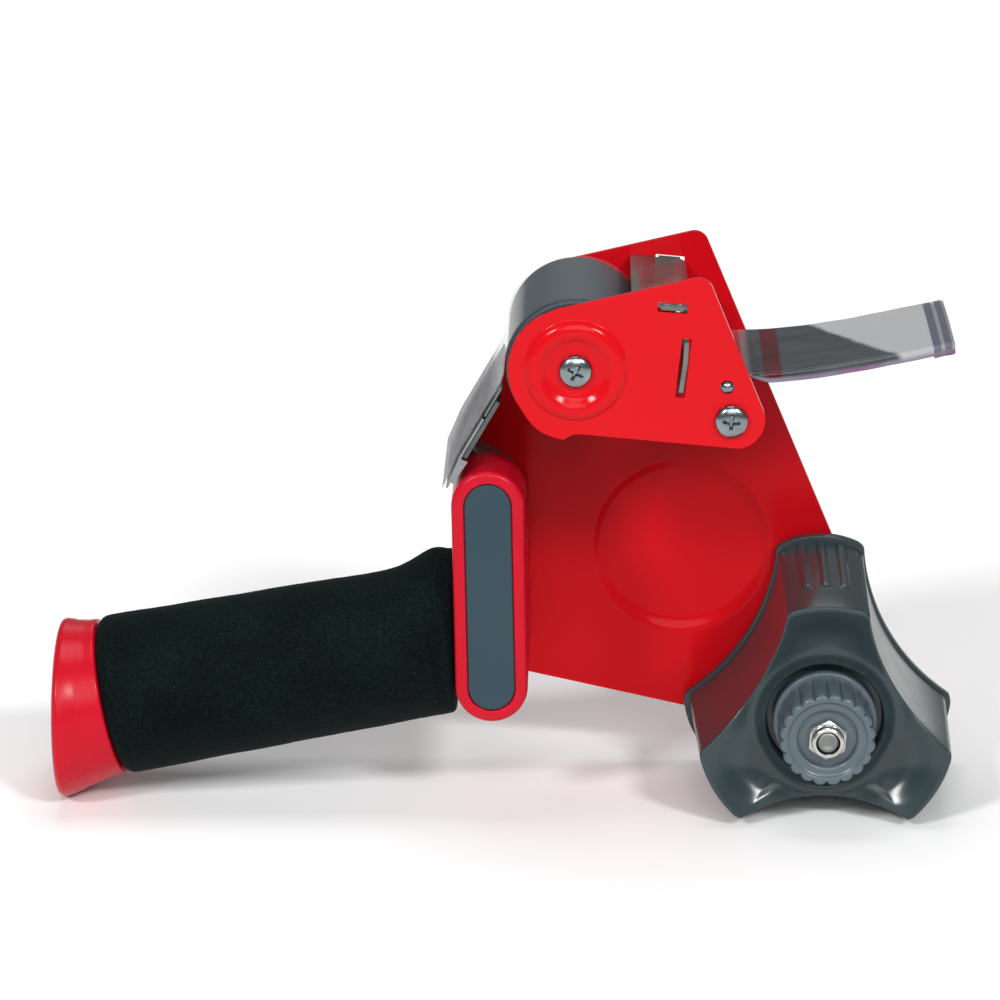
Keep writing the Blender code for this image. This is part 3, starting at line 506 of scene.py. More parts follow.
def rubber_material(name, colour, deep, rough):
    n = Nodes(name)
    slow = n.noise(50.0, 3.0)
    tone = n.ramp(slow, [(0.3, deep), (0.7, colour)])
    around = n.noise(1.0, 3.0, 0.6, scaled(n, 400.0, 2600.0, 400.0))
    fine = n.noise(2200.0, 3.0, 0.6)
    normal = n.bump(around, 0.10, 0.00005)
    normal = n.bump(fine, 0.15, 0.00004, normal)
    return n.base(tone, n.span(slow, rough - 0.05, rough + 0.06), normal)


PAINT = powder_coat("red_paint", (0.585, 0.004, 0.009), (0.55, 0.0035, 0.008), 0.12)
# darker copy of the red paint with a weaker specular: painted shade, the whole back plate is darkened for the shade it
# lies in behind the near plate
PAINT_SHADED_FAR = powder_coat("red_paint_back_plate_shaded", (0.53, 0.004, 0.009), (0.49, 0.0035, 0.008), 0.12, 0.08)
RED = moulded("red_plastic", (0.50, 0.004, 0.018), (0.46, 0.0035, 0.015), 0.27, level=0.17)
HUB_MAT = moulded("hub_plastic", (0.027, 0.042, 0.046), (0.023, 0.037, 0.041), 0.2, 1400.0, 0.000015, 0.06, coat=0.0, flow=0.06, level=0.45)
KNOB_MAT = moulded("knob_plastic", (0.085, 0.112, 0.130), (0.072, 0.100, 0.118), 0.3, 1500.0, 0.00002, 0.08, coat=0.15)
INLAY = moulded("inlay_plastic", (0.029, 0.056, 0.074), (0.025, 0.051, 0.068), 0.4, 2400.0, 0.00004, 0.25, level=0.22)
CORE = moulded("core_plastic", (0.5, 0.5, 0.48), (0.44, 0.44, 0.42), 0.45)
FIBRE = moulded("fibre", (0.18, 0.11, 0.06), (0.12, 0.07, 0.04), 0.8, 900.0, 0.00008, 0.5)
WIPER = moulded("wiper_plastic", (0.16, 0.17, 0.18), (0.12, 0.13, 0.14), 0.35)
RUBBER = rubber_material("roller_rubber", (0.023, 0.040, 0.052), (0.018, 0.033, 0.043), 0.5)
FOAM = foam_material()
ZINC = plated("zinc_sheet", (0.20, 0.225, 0.215), (0.14, 0.16, 0.15), 0.2, (0.3, 1.2, 1.2), 0.025, metal=0.72)
# darker, duller copy of the zinc plating for the blade bracket: painted shade, a stand-in for the dark reflection of
# the shaded back plate
BRACKET_SHADED = plated("zinc_bracket_shaded", (0.085, 0.105, 0.098), (0.055, 0.07, 0.066), 0.2, (0.3, 2.0, 2.0), metal=0.2)
SCREW = plated("zinc_screw", (0.33, 0.37, 0.39), (0.20, 0.24, 0.26), 0.17, (1.0, 1.0, 1.0))
STEEL = plated("blade_steel", (0.38, 0.38, 0.40), (0.30, 0.30, 0.32), 0.26, (0.25, 3.0, 3.0), 0.1)
NUT = plated("nickel_nut", (0.66, 0.66, 0.62), (0.50, 0.50, 0.46), 0.2)
BOLT = plated("zinc_bolt", (0.26, 0.27, 0.265), (0.19, 0.20, 0.195), 0.42)

# ------------------------------------------------- hardware with CAD's shape
for node, width in (("guide_rod", 0.15), ("bracket_screw", 0.12), ("blade_rivet_far", 0.08), ("blade_rivet_near", 0.08)):
    settle(refined(node, node + "_fine", width), "frame", "zinc_steel", SCREW, node)
for node in ("axle_tube", "spacer_post"):
    settle(refined(node, node + "_fine", 0.2), "frame", "zinc_steel", SCREW, node)
settle(refined("guide_plate", "guide_plate_fine", 0.22, 2, 25), "frame", "zinc_sheet", ZINC, "guide_plate")
settle(refined("blade_bracket", "blade_bracket_fine", 0.22, 2, 25), "frame", "zinc_sheet", BRACKET_SHADED, "blade_bracket")
settle(refined("serrated_blade", "serrated_blade_fine", 0.08, 1, 30), "frame", "blade_steel", STEEL, "serrated_blade")
settle(refined("wiper_strip", "wiper_strip_fine", 0.12), "frame", "wiper_plastic", WIPER, "wiper_strip")
settle(refined("friction_washer", "friction_washer_fine", 0.15), "frame", "fibre", FIBRE, "friction_washer")
settle(refined("roller_core", "roller_core_fine", 0.3, 2), "roller", "core_plastic", CORE, "roller_core")
settle(refined("pressure_washer", "pressure_washer_fine", 0.15), "brake", "zinc_steel", SCREW, "pressure_washer")
spring = refined("brake_spring", "brake_spring_fine", 0.0)
settle(spring, "brake", "blade_steel", STEEL, "brake_spring")
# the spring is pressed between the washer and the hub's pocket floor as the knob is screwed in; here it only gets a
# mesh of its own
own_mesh(spring)


def circle(x, z, r, n):
    return arc(x, z, r, 0, 360 - 360 / n, n - 1)


def smooth_line(points, spacing=0.8):
    """Catmull-Rom curve through 2-D points, resampled at an even spacing."""
    pts = [np.array(p, float) for p in points]
    dense = []
    for i in range(len(pts) - 1):
        p0, p1, p2, p3 = pts[max(i - 1, 0)], pts[i], pts[i + 1], pts[min(i + 2, len(pts) - 1)]
        k = max(2, int(np.linalg.norm(p2 - p1) / (spacing * 0.25)))
        for j in range(k):
            t = j / k
            m1, m2 = (p2 - p0) / 2, (p3 - p1) / 2
            # keep the tangents in step with uneven spacing
            scale = np.linalg.norm(p2 - p1)
            m1 = m1 / max(np.linalg.norm(m1), 1e-9) * scale
            m2 = m2 / max(np.linalg.norm(m2), 1e-9) * scale
            h = 2 * t**3 - 3 * t**2 + 1, t**3 - 2 * t**2 + t, -2 * t**3 + 3 * t**2, t**3 - t**2
            dense.append(h[0] * p1 + h[1] * m1 + h[2] * p2 + h[3] * m2)
    dense.append(pts[-1])
    dense = np.array(dense)
    step = np.linalg.norm(np.diff(dense, axis=0), axis=1)
    run = np.concatenate([[0.0], np.cumsum(step)])
    n = max(2, int(round(run[-1] / spacing)))
    at = np.linspace(0, run[-1], n + 1)
    return np.stack([np.interp(at, run, dense[:, 0]), np.interp(at, run, dense[:, 1])], 1), float(run[-1])


# ------------------------------------------------------------ pressed plates
SHANK_HOLE = 2.7
GUIDE_TOP_A, GUIDE_TOP_B, GUIDE_KINK, GUIDE_LOW = (43.9, 63.6), (51.7, 62.9), (51.1, 48.0), (49.7, 38.0)


def head_arc(start, end, n):
    points = []
    for i in range(n + 1):
        a = start + (end - start) * i / n
        t = min(1.0, max(0.0, (a - 212.0) / 33.0))
        r = 18.45 + 1.45 * t * t * (3 - 2 * t)
        points.append((ROLLER[0] + r * math.cos(math.radians(a)), ROLLER[1] + r * math.sin(math.radians(a))))
    return points


def slot_loop(a, b, half, steps=5):
    """Slot with rounded corners between two points of its middle line."""
    a, b = Vector(a), Vector(b)
    d = (b - a).normalized()
    nrm = Vector((-d.y, d.x))
    corners = [(*(a + nrm * half), 0.35), (*(a - nrm * half), 0.35), (*(b - nrm * half), 0.35), (*(b + nrm * half), 0.35)]
    return rounded(corners, steps)


def plate_holes(with_axle):
    holes = [circle(*POST, SHANK_HOLE, 40), circle(*ROD, 1.9, 32)]
    if with_axle:
        holes.append(circle(*ROLLER, SHANK_HOLE, 40))
    a, b = Vector(GUIDE_TOP_A), Vector(GUIDE_TOP_B)
    d = (b - a).normalized()
    holes.append(slot_loop(a - d * 0.5, b - d * 0.1, 1.32))
    holes.append(slot_loop((51.55, 54.7), GUIDE_LOW, 1.32))
    return holes


def plate(name, outline, holes, y0, y1, centre, ring, strips, steps=128):
    """Flat plate with a pressed round form: the form's turned skins are welded into the plate's faces."""
    data = bpy.data.curves.new(name + "_line", "CURVE")
    data.dimensions = "2D"
    data.fill_mode = "BOTH"
    data.extrude = (y1 - y0) / 2 * MM
    for loop in [outline, *holes, circle(*centre, ring, steps)]:
        line = data.splines.new("POLY")
        line.points.add(len(loop) - 1)
        for point, (x, z) in zip(line.points, loop):
            point.co = (x * MM, z * MM, 0, 1)
        line.use_cyclic_u = True
    guide = bpy.data.objects.new(name + "_line", data)
    scene.collection.objects.link(guide)
    bpy.context.view_layer.update()
    mesh = bpy.data.meshes.new_from_object(guide.evaluated_get(bpy.context.evaluated_depsgraph_get()))
    bpy.data.objects.remove(guide, do_unlink=True)
    mesh.transform(Matrix.Translation((0, (y0 + y1) / 2 * MM, 0)) @ Matrix.Rotation(math.pi / 2, 4, "X"))
    work = bmesh.new()
    work.from_mesh(mesh)
    bmesh.ops.remove_doubles(work, verts=work.verts, dist=2e-6)

    def on_ring(v):
        return abs(math.hypot(v.co.x / MM - centre[0], v.co.z / MM - centre[1]) - ring) < 0.01

    wall = [f for f in work.faces if all(on_ring(v) for v in f.verts) and abs(f.normal.y) < 0.5]
    bmesh.ops.delete(work, geom=wall, context="FACES_ONLY")
    bmesh.ops.dissolve_limit(work, angle_limit=math.radians(0.5), verts=work.verts, edges=work.edges, delimit={"NORMAL"})
    work.to_mesh(mesh)
    work.free()
    obj = new_object(name, mesh)
    join_objects(obj, *[turned(name + "_form", s, *centre, steps, closed=False) for s in strips])
    work = bmesh.new()
    work.from_mesh(obj.data)
    bmesh.ops.remove_doubles(work, verts=work.verts, dist=5e-6)
    loose = [e for e in work.edges if not e.link_faces]
    bmesh.ops.delete(work, geom=loose, context="EDGES")
    bmesh.ops.recalc_face_normals(work, faces=work.faces)
    work.to_mesh(obj.data)
    work.free()
    bevel(obj, 0.32, 3, 50)
    bake_modifiers(obj)
    shade(obj, 38)
    weigh(obj)
    return stand(obj)


near_outline = (
    [p for p in rounded([(15.9, 62.3, 0.0), TOP_CORNER, (72.7, 33.5, 0.0)], 14)][1:16]
    + arc(64.8, 31.7, 8.3, 20, -80, 20)
    + [(22.5, 27.45), (21.6, 27.42), (20.7, 27.3), (19.8, 26.95), (18.9, 26.4), (18.3, 25.95), (17.7, 25.8)]
    + head_arc(257, 155, 44)
    + SHOULDER
)
bead_front = [
    (15.2, -27.3), (14.55, -27.3), (14.3, -27.36), (14.1, -27.5), (13.85, -27.76), (13.55, -28.05), (13.15, -28.36), (12.65, -28.62), (12.1, -28.81), (11.6, -28.92),
    (11.1, -28.95), (10.6, -28.93), (10.1, -28.8), (9.6, -28.58), (9.1, -28.28), (8.6, -27.96), (8.15, -27.7), (7.75, -27.53), (7.4, -27.46),
    (7.15, -27.44), (6.95, -27.39), (6.8, -27.32), (6.6, -27.3), (5.6, -27.3), (SHANK_HOLE, -27.3),
]
bead_back = [
    (SHANK_HOLE, -25.8), (6.2, -25.8), (6.8, -25.86), (7.4, -26.2), (8.0, -26.6), (8.8, -27.0), (9.6, -27.28), (10.2, -27.35),
    (11.2, -27.26), (12.2, -26.98), (13.0, -26.5), (13.8, -26.0), (14.4, -25.84), (15.2, -25.8),
]
settle(
    plate("near_plate_fine", near_outline, plate_holes(False), NEAR_OUT, NEAR_IN, ROLLER, 15.2, [bead_front + bead_back]),
    "frame", "red_paint", PAINT, "near_plate",
)

DISH = (51.6, -21.4)
far_outline = (
    rounded(
        [(15.9, 62.3, 0.0), TOP_CORNER, (124.0, -86.2, 20.0), (-13.4, -55.5, 5.0), (-13.4, 9.0, 6.0), (3.4, 41.0, 0.0)], 18
    )[1:-1]
    + head_arc(194, 155, 16)
    + SHOULDER
)
far_holes = plate_holes(True) + [circle(*HUB, 4.3, 48), circle(-2.8, -1.5, SHANK_HOLE, 32), circle(-2.0, -40.0, SHANK_HOLE, 32)]
dish_front = [(26.6, 26.3), (26.2, 26.32), (25.7, 26.4), (25.2, 26.55), (24.6, 26.8), (24.0, 27.05), (23.4, 27.28), (22.6, 27.5), (21.6, 27.64), (20.4, 27.7), (12.0, 27.7), (0.0, 27.7)]
dish_back = [(26.6, 27.8), (26.3, 27.85), (26.0, 28.02), (25.6, 28.4), (25.2, 28.8), (24.8, 29.08), (24.3, 29.2), (12.0, 29.2), (0.0, 29.2)]
settle(
    plate("frame_plate_fine", far_outline, far_holes, 26.3, 27.8, DISH, 26.6, [dish_front, dish_back]),
    "frame", "red_paint", PAINT_SHADED_FAR, "frame_plate",
)


# -------------------------------------------------------------- round pieces
def finish_turned(name, profile, centre, body, slot, mat, node, steps=96, r=0.3, angle=38):
    obj = turned(name, profile, *centre, steps, closed=profile[0][0] > 1e-6)
    shade(obj, angle)
    weigh(obj)
    return settle(stand(obj), body, slot, mat, node)


tire = [(14.5, -24.9), (16.4, -24.9), (16.7, -24.75), (17.0, -24.9), (18.2, -24.9), (18.6, -24.8), (18.87, -24.5), (19.0, -24.1)]
tire = tire + [(r, -y) for r, y in tire[::-1]]
finish_turned("roller_tire_fine", tire, ROLLER, "roller", "roller_rubber", RUBBER, "roller_tire", 144)

bolt_end = [(0, -39.75), (0.9, -39.8), (1.5, -39.98), (1.9, -40.16), (2.4, -40.2), (2.75, -40.0), (3.0, -39.65)]
threads = []
y = -39.4
while y < -35.0:
    threads += [(3.0, y), (3.0, y + 0.22), (2.62, y + 0.5), (2.62, y + 0.62)]
    y += 1.0
bolt = bolt_end + threads + [(3.0, -34.8), (3.0, -21.4), (3.2, -21.2), (3.9, -21.2), (4.0, -21.1), (4.0, 28.1), (8.5, 28.1), (8.6, 28.3), (8.3, 29.1), (7.6, 29.9), (6.4, 30.4), (4.9, 30.8), (3.0, 31.1), (1.4, 31.2), (0, 31.2)]
finish_turned("hub_bolt_fine", bolt, HUB, "frame", "zinc_steel", BOLT, "hub_bolt", 72)


def screw_piece(name):
    """Pan head with a cross recess, its seat at y = 0 and its head towards -Y."""
    head = [(0.0, -2.62)]
    for k in range(1, 13):
        t = k / 12 * math.pi / 2
        head.append((4.55 * math.sin(t) ** 0.82, -2.62 + 1.75 * (1 - math.cos(t))))
    head += [(4.55, -0.6), (4.48, -0.38), (4.3, -0.3), (2.4, -0.3), (2.4, 11.0), (1.6, 12.0), (0.0, 12.0)]
    body = turned(name, head, 0, 0, 72, closed=False)
    for turn in (20, 110):
        work = bmesh.new()
        top, low = (-3.2, 2.9, 0.56), (-0.9, 1.5, 0.3)
        corners = []
        for y_at, lx, lz in (top, low):
            corners.append([work.verts.new((sx * lx * MM, y_at * MM, sz * lz * MM)) for sx, sz in ((-1, -1), (1, -1), (1, 1), (-1, 1))])
        work.faces.new(corners[0])
        work.faces.new(corners[1][::-1])
        for i in range(4):
            j = (i + 1) % 4
            work.faces.new((corners[0][i], corners[1][i], corners[1][j], corners[0][j]))
        bmesh.ops.recalc_face_normals(work, faces=work.faces)
        mesh = bpy.data.meshes.new("wing")
        work.to_mesh(mesh)
        work.free()
        mesh.transform(Matrix.Rotation(math.radians(turn), 4, "Y"))
        boolean(body, new_object("wing", mesh))
    cone = turned("cone", [(0, -3.2), (1.05, -3.2), (0.6, -1.2), (0.0, -0.6)], 0, 0, 32, closed=False)
    boolean(body, cone)
    bevel(body, 0.07, 2, 40)
    bake_modifiers(body)
    return shade(body, 36)


template = screw_piece("screw_template")
for name, x, z, seat, way, spin in (
    ("axle_screw_near", *ROLLER, -27.3, 1, 8), ("post_screw_near", *POST, -27.3, 1, -14),
    ("axle_screw_far", *ROLLER, 27.8, -1, 30), ("post_screw_far", *POST, 27.8, -1, 5),
    ("handle_screw_top", -2.8, -1.5, 27.8, -1, 50), ("handle_screw_bottom", -2.0, -40.0, 27.8, -1, 12),
):
    copy = new_object(name + "_fine", template.data.copy())
    copy.data.transform(Matrix.Rotation(math.radians(spin), 4, "Y"))
    if way < 0:
        copy.data.transform(Matrix.Rotation(math.pi, 4, "Z"))
    copy.data.transform(Matrix.Translation((x * MM, seat * MM, z * MM)))
    settle(stand(copy), "frame", "zinc_steel", SCREW, name)
bpy.data.objects.remove(template, do_unlink=True)


# ------------------------------------------------------------------ core hub
ARM_HALF = math.radians(18.8)


def hub_line(tip, waist, crown=0.0, inset=0.0, tip_steps=72, side_steps=44):
    """Three arms at 90, 210 and 330 degrees, concave between them."""
    points = []
    for arm in range(3):
        centre = math.radians(90 + 120 * arm)
        for k in range(tip_steps + 1):
            u = -1 + 2 * k / tip_steps
            a = centre + ARM_HALF * u
            soft = 0.55 * (max(0.0, abs(u) - 0.8) / 0.2) ** 2
            points.append(((tip - inset + crown * (1 - u * u) - soft) * math.cos(a), (tip - inset + crown * (1 - u * u) - soft) * math.sin(a)))
        a0, a1 = centre + ARM_HALF, centre + 2 * math.pi / 3 - ARM_HALF
        middle = (a0 + a1) / 2
        corner = tip - inset - 0.55
        chord, reach = corner * math.sin((a1 - a0) / 2), corner * math.cos((a1 - a0) / 2)
        sag = reach - (waist - inset)
        radius = (chord * chord + sag * sag) / (2 * sag)
        far = waist - inset + radius
        span = math.asin(chord / radius)
        for k in range(1, side_steps):
            t = -span + 2 * span * k / side_steps
            d, w = far - radius * math.cos(t), radius * math.sin(t)
            points.append((d * math.cos(middle) - w * math.sin(middle), d * math.sin(middle) + w * math.cos(middle)))
    return np.array(points)


line_front, line_rear = hub_line(36.2, 21.9), hub_line(38.1, 22.7)
line_flange = hub_line(39.5, 23.5, 1.2)
hollow_front, hollow_rear = hub_line(36.8, 22.1, 0, 2.7), hub_line(38.1, 22.8, 0, 2.7)
hollow_rear = hollow_front + (hollow_rear - hollow_front) * (24.4 + 14) / (28.4 + 14)
dish_curve = np.poly1d(np.polyfit([38.5, 36.0, 31.0, 26.0, 21.0, 16.4], [-31.6, -30.1, -27.4, -25.0, -22.9, -21.5], 3))
COUNT = len(line_front)


def side_point(i, y_at):
    t = (y_at + 30.2) / 51.0
    return line_front[i] + (line_rear[i] - line_front[i]) * t


def smoothstep(low, high, value):
    t = min(1.0, max(0.0, (value - low) / (high - low)))
    return t * t * (3 - 2 * t)


def rib_height(i, y_at, radius, angle):
    """Crush ribs that grip the tape's core: three on each arm, rising towards the flange."""
    if y_at < -14.2:
        return 0.0
    rise = min(1.0, max(0.0, (y_at + 14.2) / 1.8)) ** 0.5
    tall = (0.5 + 0.4 * min(1.0, (y_at + 14.2) / 35.0)) * rise
    best = 0.0
    for arm in range(3):
        for step in (-8.6, 0.0, 8.6):
            off = (angle - math.radians(90 + 120 * arm + step) + math.pi) % (2 * math.pi) - math.pi
            d = abs(radius * math.sin(off))
            if abs(off) < 0.2 and d < 1.35:
                best = max(best, tall * math.sqrt(max(0.0, 1 - (d / 1.35) ** 2)))
    return best


meridians = []
SIDE_Y = [-20.0, -17.5, -15.5, -14.6, -14.2, -14.0, -13.75, -13.45, -13.1, -12.7, -12.3, -11.0, -8.0, -5.0, -2.0, 1.0, 4.0, 7.0, 10.0, 13.0, 16.0, 18.5, 20.2, 20.8]
for i in range(COUNT):
    y_edge = -29.0
    for _ in range(12):
        y_edge = float(dish_curve(np.linalg.norm(side_point(i, y_edge))))
    edge_point = side_point(i, y_edge)
    r_edge = float(np.linalg.norm(edge_point))
    way = edge_point / r_edge
    tipness = min(1.0, max(0.0, (r_edge - 23.0) / 11.0))
    reach = 0.75 + 0.75 * tipness
    loop = []

    def at(r, y_at):
        loop.append((way[0] * r, y_at, way[1] * r))

    at(4.35, -5.5), at(11.4, -5.5), at(11.4, -17.2), at(11.7, -17.5), at(16.1, -17.5), at(16.4, -17.2)
    at(16.4, -20.5)
    for k in range(5):
        t = (k + 1) / 5 * math.pi / 2
        at(17.3 - 0.9 * math.cos(t), -20.7 + (float(dish_curve(17.3)) + 20.7) * math.sin(t))
    inner = 17.3
    bearing = math.atan2(way[1], way[0])
    swing = min(abs((bearing - math.radians(90 + 120 * arm) + math.pi) % (2 * math.pi) - math.pi) for arm in range(3))
    for k in range(1, 27):
        part = k / 26
        r = inner + (r_edge - reach - inner) * part
        far = part + 0.1 * (swing / 0.33) ** 2
        scoop = smoothstep(0.04, 0.55, part) * (1.0 - smoothstep(0.6, 0.92, far))
        spoon = 1.6 * scoop * math.exp(-((swing / 0.33) ** 2)) * tipness
        ridge = 0.5 * math.exp(-(((r - 19.6) / 1.5) ** 2)) - 0.5 * math.exp(-(((17.3 - 19.6) / 1.5) ** 2)) * (1 - part)
        at(r, float(dish_curve(r)) + spoon - ridge)
    start = np.array([way[0] * (r_edge - reach), float(dish_curve(r_edge - reach)), way[1] * (r_edge - reach)])
    corner = np.array([edge_point[0], y_edge, edge_point[1]])
    low = side_point(i, y_edge + reach)
    end = np.array([low[0], y_edge + reach, low[1]])
    for k in range(1, 7):
        t = k / 6
        p = start * (1 - t) ** 2 + corner * 2 * t * (1 - t) + end * t * t
        loop.append(tuple(p))
    for y_at in SIDE_Y:
        p = side_point(i, y_at)
        radius = float(np.linalg.norm(p))
        lift = rib_height(i, y_at, radius, math.atan2(p[1], p[0]))
        p = p * (radius + lift) / radius
        loop.append((p[0], y_at, p[1]))
    flange = line_flange[i]
    size = float(np.linalg.norm(flange))
    base_r = float(np.linalg.norm(loop[-1][::2]))
    for dr, y_at in ((-0.45, 20.8), (-0.12, 20.93), (0.0, 21.25), (0.0, 23.95), (-0.12, 24.27), (-0.45, 24.4)):
        scale = max(size + dr, base_r + 0.05 if dr < 0 and y_at < 22 else 0.0) / size
        loop.append((flange[0] * scale, y_at, flange[1] * scale))
    loop.append((hollow_rear[i][0], 24.4, hollow_rear[i][1]))
    loop.append((hollow_front[i][0], -13.6, hollow_front[i][1]))
    shrink = (float(np.linalg.norm(hollow_front[i])) - 0.5) / float(np.linalg.norm(hollow_front[i]))
    loop.append((hollow_front[i][0] * shrink, -14.0, hollow_front[i][1] * shrink))
    at(14.2, -14.0), at(14.2, -3.0), at(8.4, -3.0), at(8.4, 24.1), at(8.1, 24.4), at(4.6, 24.4), at(4.35, 24.1)
    meridians.append(loop)
work = bmesh.new()
grid = [[work.verts.new(((x + HUB[0]) * MM, y_at * MM, (z + HUB[1]) * MM)) for x, y_at, z in loop] for loop in meridians]
for i in range(COUNT):
    a, b = grid[i], grid[(i + 1) % COUNT]
    for j in range(len(a)):
        k = (j + 1) % len(a)
        work.faces.new((a[j], a[k], b[k], b[j]))
bmesh.ops.recalc_face_normals(work, faces=work.faces)
mesh = bpy.data.meshes.new("core_hub_fine")
work.to_mesh(mesh)
work.free()
hub = shade(new_object("core_hub_fine", mesh), 44)
settle(stand(hub), "hub", "hub_plastic", HUB_MAT, "core_hub")

# ----------------------------------------------------------- knob and its nut
LOBES, PER_LOBE = 20, 14


def ring_at(radius_of, y_at, count, centre=HUB):
    ring = []
    for i in range(count):
        a = 2 * math.pi * i / count
        r = radius_of(a)
        ring.append(Vector(((centre[0] + r * math.cos(a)) * MM, y_at * MM, (centre[1] + r * math.sin(a)) * MM)))
    return ring


def lobed(r, depth):
    """Round lobes side by side, with a sharp valley between each two."""
    def radius(a):
        u = 2 * ((a * LOBES / (2 * math.pi) + 1e-9) % 1.0) - 1
        return r - depth * (1 - math.sqrt(max(0.0, 1 - 0.9 * u * u))) / (1 - math.sqrt(0.1))

    return radius


def plain(r):
    return lambda a: r


def lathe(name, rings):
    """Closed loop of rings: the last ring joins the first."""
    work = bmesh.new()
    loops = [[work.verts.new(p) for p in ring] for ring in rings]
    n = len(loops[0])
    for a, b in zip(loops, loops[1:] + loops[:1]):
        for i in range(n):
            work.faces.new((a[i], a[(i + 1) % n], b[(i + 1) % n], b[i]))
    bmesh.ops.recalc_face_normals(work, faces=work.faces)
    mesh = bpy.data.meshes.new(name)
    work.to_mesh(mesh)
    work.free()
    return new_object(name, mesh)


count = LOBES * PER_LOBE
knob_rings = [
    (plain(4.3), -20.6), (plain(4.5), -20.4), (plain(14.1), -20.4), (plain(14.4), -20.52), (plain(14.5), -20.8), (plain(14.5), -22.3),
    (plain(14.42), -22.62), (plain(14.2), -22.84), (plain(13.9), -22.9), (lobed(13.55, 1.0), -22.95), (lobed(13.4, 1.05), -23.2),
    (lobed(13.4, 1.1), -26.0), (lobed(13.4, 1.1), -32.0), (lobed(13.4, 1.1), -37.0), (lobed(13.33, 1.1), -37.45), (lobed(13.12, 1.05), -37.82),
    (lobed(12.8, 0.95), -38.08), (lobed(12.4, 0.75), -38.2), (plain(11.5), -38.2), (plain(11.25), -38.14), (plain(11.05), -37.95), (plain(10.8), -37.6),
    (plain(10.3), -37.38), (plain(9.2), -37.18), (plain(8.7), -37.05), (plain(8.42), -36.8), (plain(8.3), -36.4), (plain(8.3), -35.5), (plain(8.1), -35.3),
    (plain(3.5), -35.3), (plain(3.3), -35.1), (plain(3.3), -23.2), (plain(4.3), -23.2),
]
knob = lathe("brake_knob_fine", [ring_at(f, y_at, count) for f, y_at in knob_rings])
shade(knob, 40)
settle(stand(knob), "knob", "knob_plastic", KNOB_MAT, "brake_knob")


def hexed(limit):
    def radius(a):
        off = (a - math.radians(56) + math.radians(30)) % math.radians(60) - math.radians(30)
        return min(limit, 5.0 / math.cos(off))

    return radius


nut_rings = []
for kind in ("back", "side", "chamfer"):
    ring = []
    for i in range(144):
        a = 2 * math.pi * i / 144
        r = hexed(5.68)(a)
        if kind == "back":
            y_at = -35.7
        elif kind == "side":
            y_at = -38.1 + max(0.06, (r - 4.95) * 0.62)
        else:
            r, y_at = 4.93, -38.1
        ring.append(Vector(((HUB[0] + r * math.cos(a)) * MM, y_at * MM, (HUB[1] + r * math.sin(a)) * MM)))
    nut_rings.append(ring)
for r, y_at in ((4.72, -38.12), (4.62, -38.22), (4.58, -38.5), (4.56, -39.85), (4.46, -40.2), (4.22, -40.48), (3.9, -40.66), (3.6, -40.7), (3.42, -40.66), (3.3, -40.5), (3.3, -35.7)):
    nut_rings.append(ring_at(plain(r), y_at, 144))
nut = lathe("lock_nut_fine", nut_rings)
shade(nut, 25)
settle(stand(nut), "knob", "nut_steel", NUT, "lock_nut")

# -------------------------------------------------------------- handle block
BLOCK_TOP, BLOCK_LOW = Vector((-2.9, 6.0)), Vector((-1.8, -46.9))
block_axis = (BLOCK_TOP - BLOCK_LOW).normalized()
block_turn = math.degrees(math.atan2(block_axis.y, block_axis.x))


def stadium(r, n=40):
    return arc(*BLOCK_TOP, r, block_turn - 90, block_turn + 90, n) + arc(*BLOCK_LOW, r, block_turn + 90, block_turn + 270, n)


def stadium_ring(r, y_at):
    return [Vector((x * MM, y_at * MM, z * MM)) for x, z in stadium(r)]


block_rings = [(6.7, -25.1), (6.7, -26.2), (6.78, -26.45), (7.0, -26.6), (8.6, -26.6)]
for k in range(1, 8):
    t = k / 7 * math.pi / 2
    block_rings.append((8.6 + 1.5 * math.sin(t), -25.1 - 1.5 * math.cos(t)))
block_rings += [(10.1, -20.0), (10.1, 25.3), (9.9, 25.8), (9.4, 26.0)]
block = rings_mesh("handle_body_fine", [stadium_ring(r, y_at) for r, y_at in block_rings])
cg, sg = math.cos(math.radians(GRIP_SLOPE)), math.sin(math.radians(GRIP_SLOPE))


def along_grip(s, y_at=0.0, up_at=0.0):
    return Vector(((GRIP_X - s * cg - up_at * sg) * MM, y_at * MM, (GRIP_Z - s * sg + up_at * cg) * MM))


def grip_ring(s, r, n=64):
    return [along_grip(s, r * math.cos(2 * math.pi * i / n), r * math.sin(2 * math.pi * i / n)) for i in range(n)]


spindle = lathe("spindle", [grip_ring(-4, 12.4), grip_ring(-4, 15.4), grip_ring(112.2, 15.4), grip_ring(112.6, 15.0), grip_ring(112.6, 12.4)])
boolean(block, spindle, "UNION")


def slab(name, loop, y0, y1):
    return rings_mesh(name, [[Vector((x * MM, y_at * MM, z * MM)) for x, z in loop] for y_at in (y0, y1)])


TONGUE_BEND, TONGUE_END = Vector((-5.9, 15.6)), Vector((3.3, 9.8))
tongue_dir = (TONGUE_END - TONGUE_BEND).normalized()
tongue_normal = Vector((-tongue_dir.y, tongue_dir.x))
seat_a = TONGUE_BEND - tongue_dir * 16 - tongue_normal * 0.9
seat_b = TONGUE_BEND + tongue_dir * 30 - tongue_normal * 0.9
boolean(block, slab("crown_cut", [seat_a, seat_b, seat_b + tongue_normal * 30, seat_a + tongue_normal * 30], -7.2, 32))
step_a, step_b = seat_a - tongue_normal * 5.4, seat_b - tongue_normal * 5.4
boolean(block, slab("crown_step", [step_a, step_b, step_b + tongue_normal * 30, step_a + tongue_normal * 30], 7.0, 32))
screw_at = TONGUE_BEND + tongue_dir * 7.4
pocket = turned("pocket", [(0, 2.0), (1.9, 2.0), (1.9, -9.0), (0, -9.0)], 0, 0, 32, closed=False)
